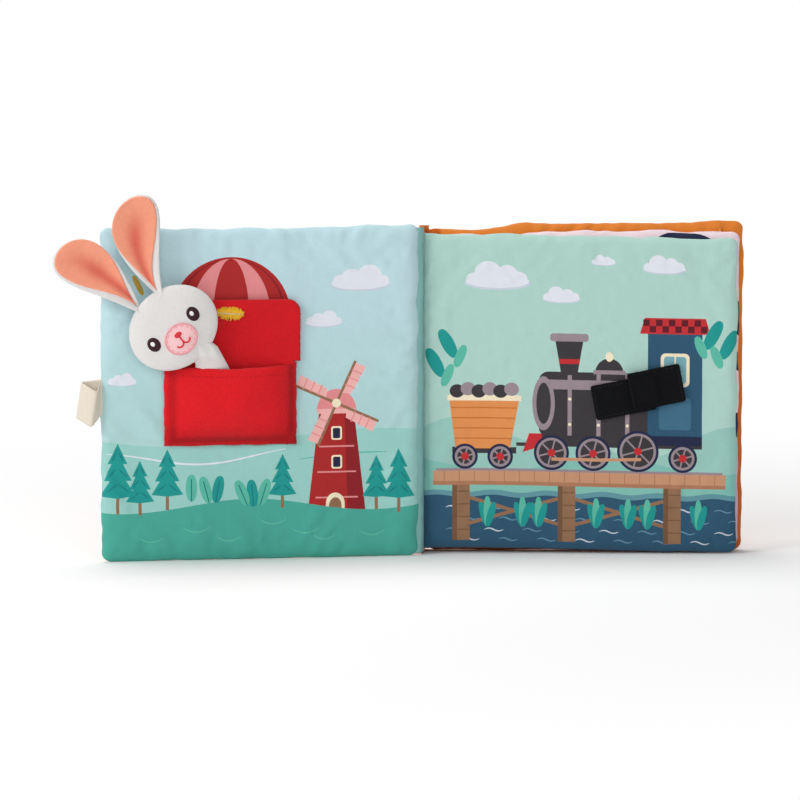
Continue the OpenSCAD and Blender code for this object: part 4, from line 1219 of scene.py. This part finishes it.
def on_face(name, outline, proud, material, step, dome=0.5, base=0.0):
    """A small piece sewn on the face, laid on the head's curve."""
    rim = resample(outline, step * 0.7)
    inner = scatter(rim.min(0), rim.max(0), step, 5)
    inner = inner[inside(inner, rim)]
    if len(inner):
        inner = inner[edge_distance(inner, rim) > 0.25 * step]
    p, t, _, edge = triangulate(rim, inner)
    d = edge_distance(p, rim)
    d[edge] = 0
    rise = proud * np.sqrt(np.clip(1 - (1 - np.minimum(d / dome, 1)) ** 2, 0, 1))
    y = -head_height(p[:, 0], p[:, 1], -1) - base - rise
    piece = make(name, np.stack([p[:, 0], y, p[:, 1]], 1), t, material, "front_cover", on_head)
    return piece


def threads_on_face(name, lines, radius, lift, material):
    """Round threads laid along lines on the face."""
    points, faces = [], []
    for line in lines:
        y = -head_height(line[:, 0], line[:, 1], -1) - lift
        c = np.stack([line[:, 0], y, line[:, 1]], 1)
        d = np.gradient(c, axis=0)
        d /= np.linalg.norm(d, axis=1)[:, None]
        side = np.cross(d, [0, -1.0, 0])
        start = len(points)
        for k in range(len(c)):
            points += ring(c[k], radius * side[k], radius * np.array([0, -0.8, 0]))
        faces += grid_faces(len(c), 6, start, wrap=True)
    piece = make(name, points, faces, material, "front_cover", on_head)


def face():
    for name, x, z in (("left_eye", 16, 0), ("right_eye", -14.5, 0)):
        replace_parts(on_face(name, oval(x, z, *EYE_SIZE), 0.8, DARK_THREAD, 0.6, 1.6), name)
        light = oval(x + 0.5, z + 0.9, *EYE_LIGHT)
        on_face(name + "_light", light, 0.3, WHITE_THREAD, 0.5, 0.8, 0.85)
    x, z, rx, rz = MUZZLE
    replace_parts(on_face("muzzle", oval(*MUZZLE), 0.5, BLUSH, 1.1), "muzzle")
    nose = on_face("nose", oval(x, z + 3.4, 2.6, 1.7), 0.9, RED_LINE, 0.5, 1.4, 0.4)
    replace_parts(nose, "nose")
    rim = oval(x, z, rx - 0.6, rz - 0.6, count=60)
    inner = oval(x, z, rx - 1.9, rz - 1.9, count=60)
    dashes = [inner[k : k + 3] for k in range(0, 58, 4)]
    threads_on_face("muzzle_ring", [np.concatenate([rim, rim[:1]])], 0.45, 0.62, ROSE_PALE)
    threads_on_face("muzzle_stitches", dashes, 0.28, 0.55, ROSE_PALE)
    smile = [
        resample([(x, z + 2.2), (x, z - 1.2)], 0.6, closed=False),
        arc(x - 2.5, z - 1.2, 2.5, 2.7, 0, -160, 12),
        arc(x + 2.5, z - 1.2, 2.5, 2.7, 180, 340, 12),
    ]
    threads_on_face("mouth_thread", smile, 0.55, 0.62, RED_LINE)


head()
face()


def ear_outline(tip_inset, base_inset, shift, bow):
    """The ear's outline, drawn in more at its base than at its tip, and moved sideways."""
    q = np.radians(np.arange(0, 360, 6))
    f = ((1 - np.cos(q)) / 2) ** 0.78
    inset = base_inset + (tip_inset - base_inset) * smooth(f * 1.6)
    half = np.maximum(EAR_W / 2 * (0.37 + 1.0 * f) - inset, 1.2)
    along = base_inset * 1.4 + (EAR_L - tip_inset - base_inset * 1.4) * f
    return np.stack([np.sin(q) * half + bow * np.sin(np.pi * f) + shift * (1 - 0.6 * f), along], 1)


def ear(i, name, shift):
    ex, ez, lean, bow = EARS[i]
    lean, bow = math.radians(lean), bow * 1.25
    wave = Waves(65 + i, 16, 40)

    def place(p):
        p = np.asarray(p, float)
        x, z = turned(p[:, 0], p[:, 2], -lean)
        return on_front(np.stack([HEAD_X + ex + x, p[:, 1], HEAD_Z + ez + z], 1))

    def across(x, z):
        """Share of the half width, from the fold in the ear's middle."""
        up = np.clip(z / EAR_L, 0, 1)
        half = EAR_W / 2 * (0.37 + 1.0 * up) * np.sqrt(np.clip(1 - (2 * up - 1) ** 2, 0.12, 1))
        return (x - bow * np.sin(np.pi * up) - shift * (1 - 0.6 * up) + 0.4 * np.sin(z / 7)) / half, up

    def cup(x, z, d):
        """The ear is folded lengthways: tight at its base, open and soft towards its tip."""
        a, up = across(x, z)
        tight = 1 - 0.75 * smooth((up - 0.1) / 0.8)
        crease = 3.4 * tight * np.abs(a) ** (0.8 + 0.9 * up) + 0.5 * (1 - tight) * a**2
        nod = 1.2 * smooth((up - 0.6) / 0.4)
        return HEAD_Y + 1.6 - np.clip(crease, 0, 4.5) - nod + 0.25 * wave.over(x, z)

    outline = ear_outline(0, 0, 0, bow)
    white = cut_piece(name, outline, 2.2, VELOUR, "front_cover", place, 1.7, cup, 1.6, 41 + i)
    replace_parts(white, name)
    fibres(name + "_fibres", white, 3000, 0.8, 0.07, VELOUR_FUZZ, "front_cover", 63 + i, 0.6)
    lining = cut_piece(
        name + "_lining", ear_outline(0.9, 4.0, shift, bow), 1.2, CORAL, "front_cover", place, 1.1,
        lambda x, z, d: cup(x, z, d) - 1.5, 0.9, 43 + i,
    )
    co = vertices(lining.data) * 1000
    c, s = math.cos(OPEN_ANGLE), math.sin(OPEN_ANGLE)
    fx = -(co[:, 0] - HINGE_X) * c - (co[:, 1] + HINGE_Y) * s - HINGE_START - HEAD_X - ex
    fz = co[:, 2] - HEAD_Z - ez
    a, up = across(*turned(fx, fz, lean))
    # Painted shade: the coral lining darkens along the fold in the ear's middle, fading out towards the tip,
    # with a little uneven tone.
    shade = np.exp(-((a / (0.22 + 0.2 * up)) ** 2)) * smooth((0.94 - up) / 0.35)
    soft = 0.5 + 0.2 * wave.over(fx, fz)
    light, shaded_coral = np.array(paint(243, 158, 128)), np.array(paint(214, 96, 78))
    ink(lining, light + (shaded_coral - light) * np.clip(0.85 * shade + 0.12 * soft, 0, 1)[:, None])
    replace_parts(lining, name + "_lining")


ear(0, "right_ear", 2.0)
ear(1, "left_ear", -1.6)


def puppet_body():
    """Rows up the body: height, middle, half width, half depth, and how far it has come to the head."""
    rows = (
        (8, 48, 10, 1.0, 0), (13, 48, 15, 1.5, 0), (24, 48, 18, 2.2, 0), (37, 50, 17, 2.7, 0),
        (46, 52.5, 11.5, 2.9, 0), (51, 53.5, 9.8, 3.2, 0.3), (57, 57, 9.8, 4.0, 0.85),
        (63, 62, 11.5, 4.4, 1.0), (69, 70, 10, 4.0, 1.0),
    )
    seat = -STACK_Y - 0.3
    back_y = seat - 3
    depths = [seat - b if not k else back_y + (HEAD_Y - back_y) * k for _, _, _, b, k in rows]
    table = np.c_[np.array(rows)[:, :4], depths]
    zs = np.linspace(rows[0][0], rows[-1][0], 46)
    cols = 48
    q = np.arange(cols) * 2 * math.pi / cols
    wave = Waves(69, 5, 14)
    points = []
    for z in zs:
        x, a, b, y = (np.interp(z, table[:, 0], table[:, k]) for k in (1, 2, 3, 4))
        neck = smooth((z - 42) / 8) * (1 - smooth((z - 62) / 6))
        gather = 1 + 0.06 * neck * np.sin(q * 7 + z * 0.3) + 0.03 * wave.along(q * 12 + z * 0.1)
        row = [POCKET_X + x + a * np.cos(q), y + b * np.sin(q) * gather, np.full(cols, POCKET_Z + z)]
        points += np.stack(row, 1).tolist()
    faces = grid_faces(len(zs), cols, wrap=True)
    faces.append(tuple(range(cols))[::-1])
    faces.append(tuple(range((len(zs) - 1) * cols, len(zs) * cols)))
    piece = make("puppet_body", points, faces, VELOUR, "front_cover", on_front)
    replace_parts(piece, "puppet_body")
    fibres("body_fibres", piece, 1800, 0.8, 0.07, VELOUR_FUZZ, "front_cover", 68, 0.6)


puppet_body()


# Ribbon loop
def ribbon():
    """A tape folded to a loop, from the seam round a near and a far corner and back, drooping as it goes."""
    corners = [
        (-2.0, -0.5, 0.0), (0.4, -0.9, 0.0), (1.6, -4.4, -3.6), (2.8, -7.4, -6.6), (4.4, -7.6, -6.4),
        (7.6, -5.4, -4.4), (11.0, -2.2, -2.2), (12.2, -0.4, -1.6), (11.2, 1.0, -1.3), (7.0, 1.7, -0.9),
        (3.0, 1.3, -0.4), (0.4, 0.8, 0.0), (-2.0, 0.5, 0.0),
    ]
    path = eased(resample(corners, 0.5, closed=False), 5)
    n = normals_along(path[:, :2])
    lean = 3.4 * smooth(path[:, 0] / 3)
    zs = np.linspace(0, RIBBON_W, 34)
    points = []
    for side in (-1, 1):
        for z in zs:
            edge = 1 - 0.5 * (min(z, RIBBON_W - z) < 0.5)
            rib = 0.06 * math.sin(z * 2 * math.pi / 1.3)
            p = path[:, :2] + n * (side * (0.32 * edge + rib))
            out = p[:, 0] + lean * (1 - z / RIBBON_W)
            points += list(zip(COVER_W - 0.4 + out, p[:, 1], RIBBON_Z - 1.8 + z + path[:, 2]))
    piece = make("ribbon_loop", points, double_faces(len(zs), len(path)), TAPE, "front_cover", on_front)
    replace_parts(piece, "ribbon_loop")


ribbon()


# Hook-and-loop strap on the first page
def strap():
    page, base_y = on_page(0), PAGE_T / 2 + 0.65
    band_low, band_high = -STRAP_W / 2 - 1, STRAP_W / 2 - 1
    tab_low, tab_high = -STRAP_W / 2 + 0.5, STRAP_W / 2 + 2.5
    start, tab_l = BAND_L - STRAP_LAP + 5.5, TAB_L - 6.5
    end = start + tab_l

    def place(p):
        p = np.asarray(p, float)
        x, z = turned(p[:, 0], p[:, 2], -STRAP_TURN)
        return page(np.stack([STRAP_X + x, p[:, 1] - base_y, STRAP_Z + z], 1))

    def flat(x, z, d):
        return -STRAP_T / 2 + 0 * x

    def over(x, z, d):
        """The tab lies on the band and comes down to the page past the band's end."""
        down = smooth((x - BAND_L + 1) / 9)
        lift = 0.6 * smooth((start + 6 - x) / 6)
        return (-STRAP_T * 1.5 - 0.35) * (1 - down) - STRAP_T / 2 * down - lift

    def cut(name, outline, thick, step, bend, edge, seed, rag):
        return cut_piece(name, outline, thick, HOOKS, "book_block", place, step, bend, edge, seed, rag)

    band_shape = round_box(0, band_low, BAND_L, band_high, 1.4)
    tab_shape = round_box(start, tab_low, end, tab_high, 1.8)
    band = cut("strap_band", band_shape, STRAP_T, 1.3, flat, 0.8, 51, 0.08)
    tab = cut("strap_tab", tab_shape, STRAP_T, 1.3, over, 0.8, 52, 0.08)
    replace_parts(band, "strap_band")
    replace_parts(tab, "strap_tab")
    patch = cut(
        "tab_patch", round_box(start + 2.5, tab_low + 3.5, start + 17, tab_high - 3.5, 1.2), 0.7, 0.9,
        lambda x, z, d: over(x, z, d) - STRAP_T / 2 - 0.2, 0.4, 53, 0.15,
    )
    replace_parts(patch, "tab_patch")
    fibres("strap_loops", tab, 3800, 0.55, 0.09, HOOK_FUZZ, "book_block", 54, 0.9)
    fibres("band_loops", band, 2600, 0.55, 0.09, HOOK_FUZZ, "book_block", 55, 0.9)
    fibres("patch_loops", patch, 900, 0.7, 0.1, HOOK_FUZZ, "book_block", 56, 0.9)
    inset, near, far = 1.8, 1.6, start - 0.6
    foot, head_line, hem = tab_low + inset, tab_high - inset, end - inset
    runs = (
        ("band_stitch_foot", flat, (near, band_low + inset), (far, band_low + inset)),
        ("band_stitch_head", flat, (near, band_high - inset), (far, band_high - inset)),
        ("band_stitch_end", flat, (near, band_low + inset), (near, band_high - inset)),
        ("tab_stitch_foot", over, (hem - 8, foot), (hem, foot)),
        ("tab_stitch_head", over, (hem - 8, head_line), (hem, head_line)),
        ("tab_stitch_end", over, (hem, foot), (hem, head_line)),
        ("tab_stitch_start", over, (start + 1.2, foot), (start + 1.2, head_line)),
    )
    for name, bend, first, last in runs:
        x, z = resample([first, last], 1.0, closed=False).T
        line = place(np.stack([x, bend(x, z, 0 * x) - STRAP_T / 2 + 0.05, z], 1))
        normals = np.tile([0, -1.0, 0], (len(line), 1))
        stitches(name, line, normals, 2.0, 0.7, 0.5, BLACK_THREAD, "book_block")


strap()


def spine_core():
    """The solid binding inside the spine's cloth."""
    near, far, half, foot, top = -4.0, 11.5, 0.5, 1, 201
    corners = ((-half, near), (half, near), (half, far), (-half, far))
    core = make(
        "spine_core", [(x, y, z) for z in (foot, top) for x, y in corners],
        [(3, 2, 1, 0), (4, 5, 6, 7), (0, 1, 5, 4), (1, 2, 6, 5), (2, 3, 7, 6), (3, 0, 4, 7)],
        PRINT_CLOTH, "book_block",
    )
    ink(core, np.tile(np.array(ORANGE_DEEP), (8, 1)))
    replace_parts(core, "spine")


spine_core()


# Studio
def floor_material():
    """White that keeps the shadow near the object and is plain white further off."""
    m = node_material("floor_white", (0.95, 0.95, 0.95), 1.0)
    new, link = m.node_tree.nodes.new, m.node_tree.links.new
    m.node_tree.nodes["Principled BSDF"].inputs["Specular IOR Level"].default_value = 0
    where = new("ShaderNodeTexCoord").outputs["Object"]
    distance = new("ShaderNodeVectorMath")
    distance.operation = "LENGTH"
    link(where, distance.inputs[0])
    span = new("ShaderNodeMapRange")
    span.interpolation_type = "SMOOTHSTEP"
    span.inputs["From Min"].default_value = 0.28
    span.inputs["From Max"].default_value = 0.75
    link(distance.outputs["Value"], span.inputs["Value"])
    glow = new("ShaderNodeEmission")
    glow.inputs["Strength"].default_value = 1.0
    mix = new("ShaderNodeMixShader")
    link(span.outputs["Result"], mix.inputs["Fac"])
    link(m.node_tree.nodes["Principled BSDF"].outputs["BSDF"], mix.inputs[1])
    link(glow.outputs["Emission"], mix.inputs[2])
    link(mix.outputs["Shader"], m.node_tree.nodes["Material Output"].inputs["Surface"])
    return m


def floor():
    mesh = bpy.data.meshes.new("floor")
    mesh.from_pydata([(-6, -6, 0), (6, -6, 0), (6, 6, 0), (-6, 6, 0)], [], [(0, 1, 2, 3)])
    ground = bpy.data.objects.new("floor", mesh)
    bpy.context.scene.collection.objects.link(ground)
    ground.data.materials.append(floor_material())


def lamp(name, place, aim, size, power):
    data = bpy.data.lights.new(name, "AREA")
    data.shape, data.size, data.size_y = "RECTANGLE", size[0], size[1]
    data.energy = power
    light = bpy.data.objects.new(name, data)
    bpy.context.scene.collection.objects.link(light)
    light.location = place
    light.rotation_euler = (Vector(aim) - Vector(place)).to_track_quat("-Z", "Y").to_euler()


floor()
lamp("top_light", (-0.5, 0.4, 2.2), (0, 0, 0.05), (2.0, 1.5), 34)
lamp("front_fill", (0.2, -3.2, 1.4), (0, 0, 0.1), (2.2, 1.6), 27)
lamp("left_light", (-2.2, -1.7, 1.3), (0, 0, 0.1), (1.2, 1.2), 32)

world = bpy.data.worlds.new("studio")
bpy.context.scene.world = world
world.use_nodes = True
nodes, links = world.node_tree.nodes, world.node_tree.links
sky = nodes["Background"]
sky.inputs["Color"].default_value = (1, 1, 1, 1)
sky.inputs["Strength"].default_value = 0.29
seen = nodes.new("ShaderNodeBackground")
seen.inputs["Color"].default_value = (1, 1, 1, 1)
seen.inputs["Strength"].default_value = 1.0
rays = nodes.new("ShaderNodeLightPath")
choose = nodes.new("ShaderNodeMixShader")
links.new(rays.outputs["Is Camera Ray"], choose.inputs["Fac"])
links.new(sky.outputs["Background"], choose.inputs[1])
links.new(seen.outputs["Background"], choose.inputs[2])
links.new(choose.outputs["Shader"], nodes["World Output"].inputs["Surface"])

# Camera
AZIMUTH, ELEVATION, DISTANCE = math.radians(0.5), math.radians(6.2), 3.4
AIM = Vector((-0.015, 0, 0.0961))
data = bpy.data.cameras.new("camera")
data.lens = 244.5
data.clip_start, data.clip_end = 0.1, 60
camera = bpy.data.objects.new("camera", data)
bpy.context.scene.collection.objects.link(camera)
level = math.cos(ELEVATION)
back_way = Vector((math.sin(AZIMUTH) * level, -math.cos(AZIMUTH) * level, math.sin(ELEVATION)))
camera.location = AIM + back_way * DISTANCE
camera.rotation_euler = (-back_way).to_track_quat("-Z", "Y").to_euler()
bpy.context.scene.camera = camera
bpy.context.scene.view_settings.view_transform = "Standard"
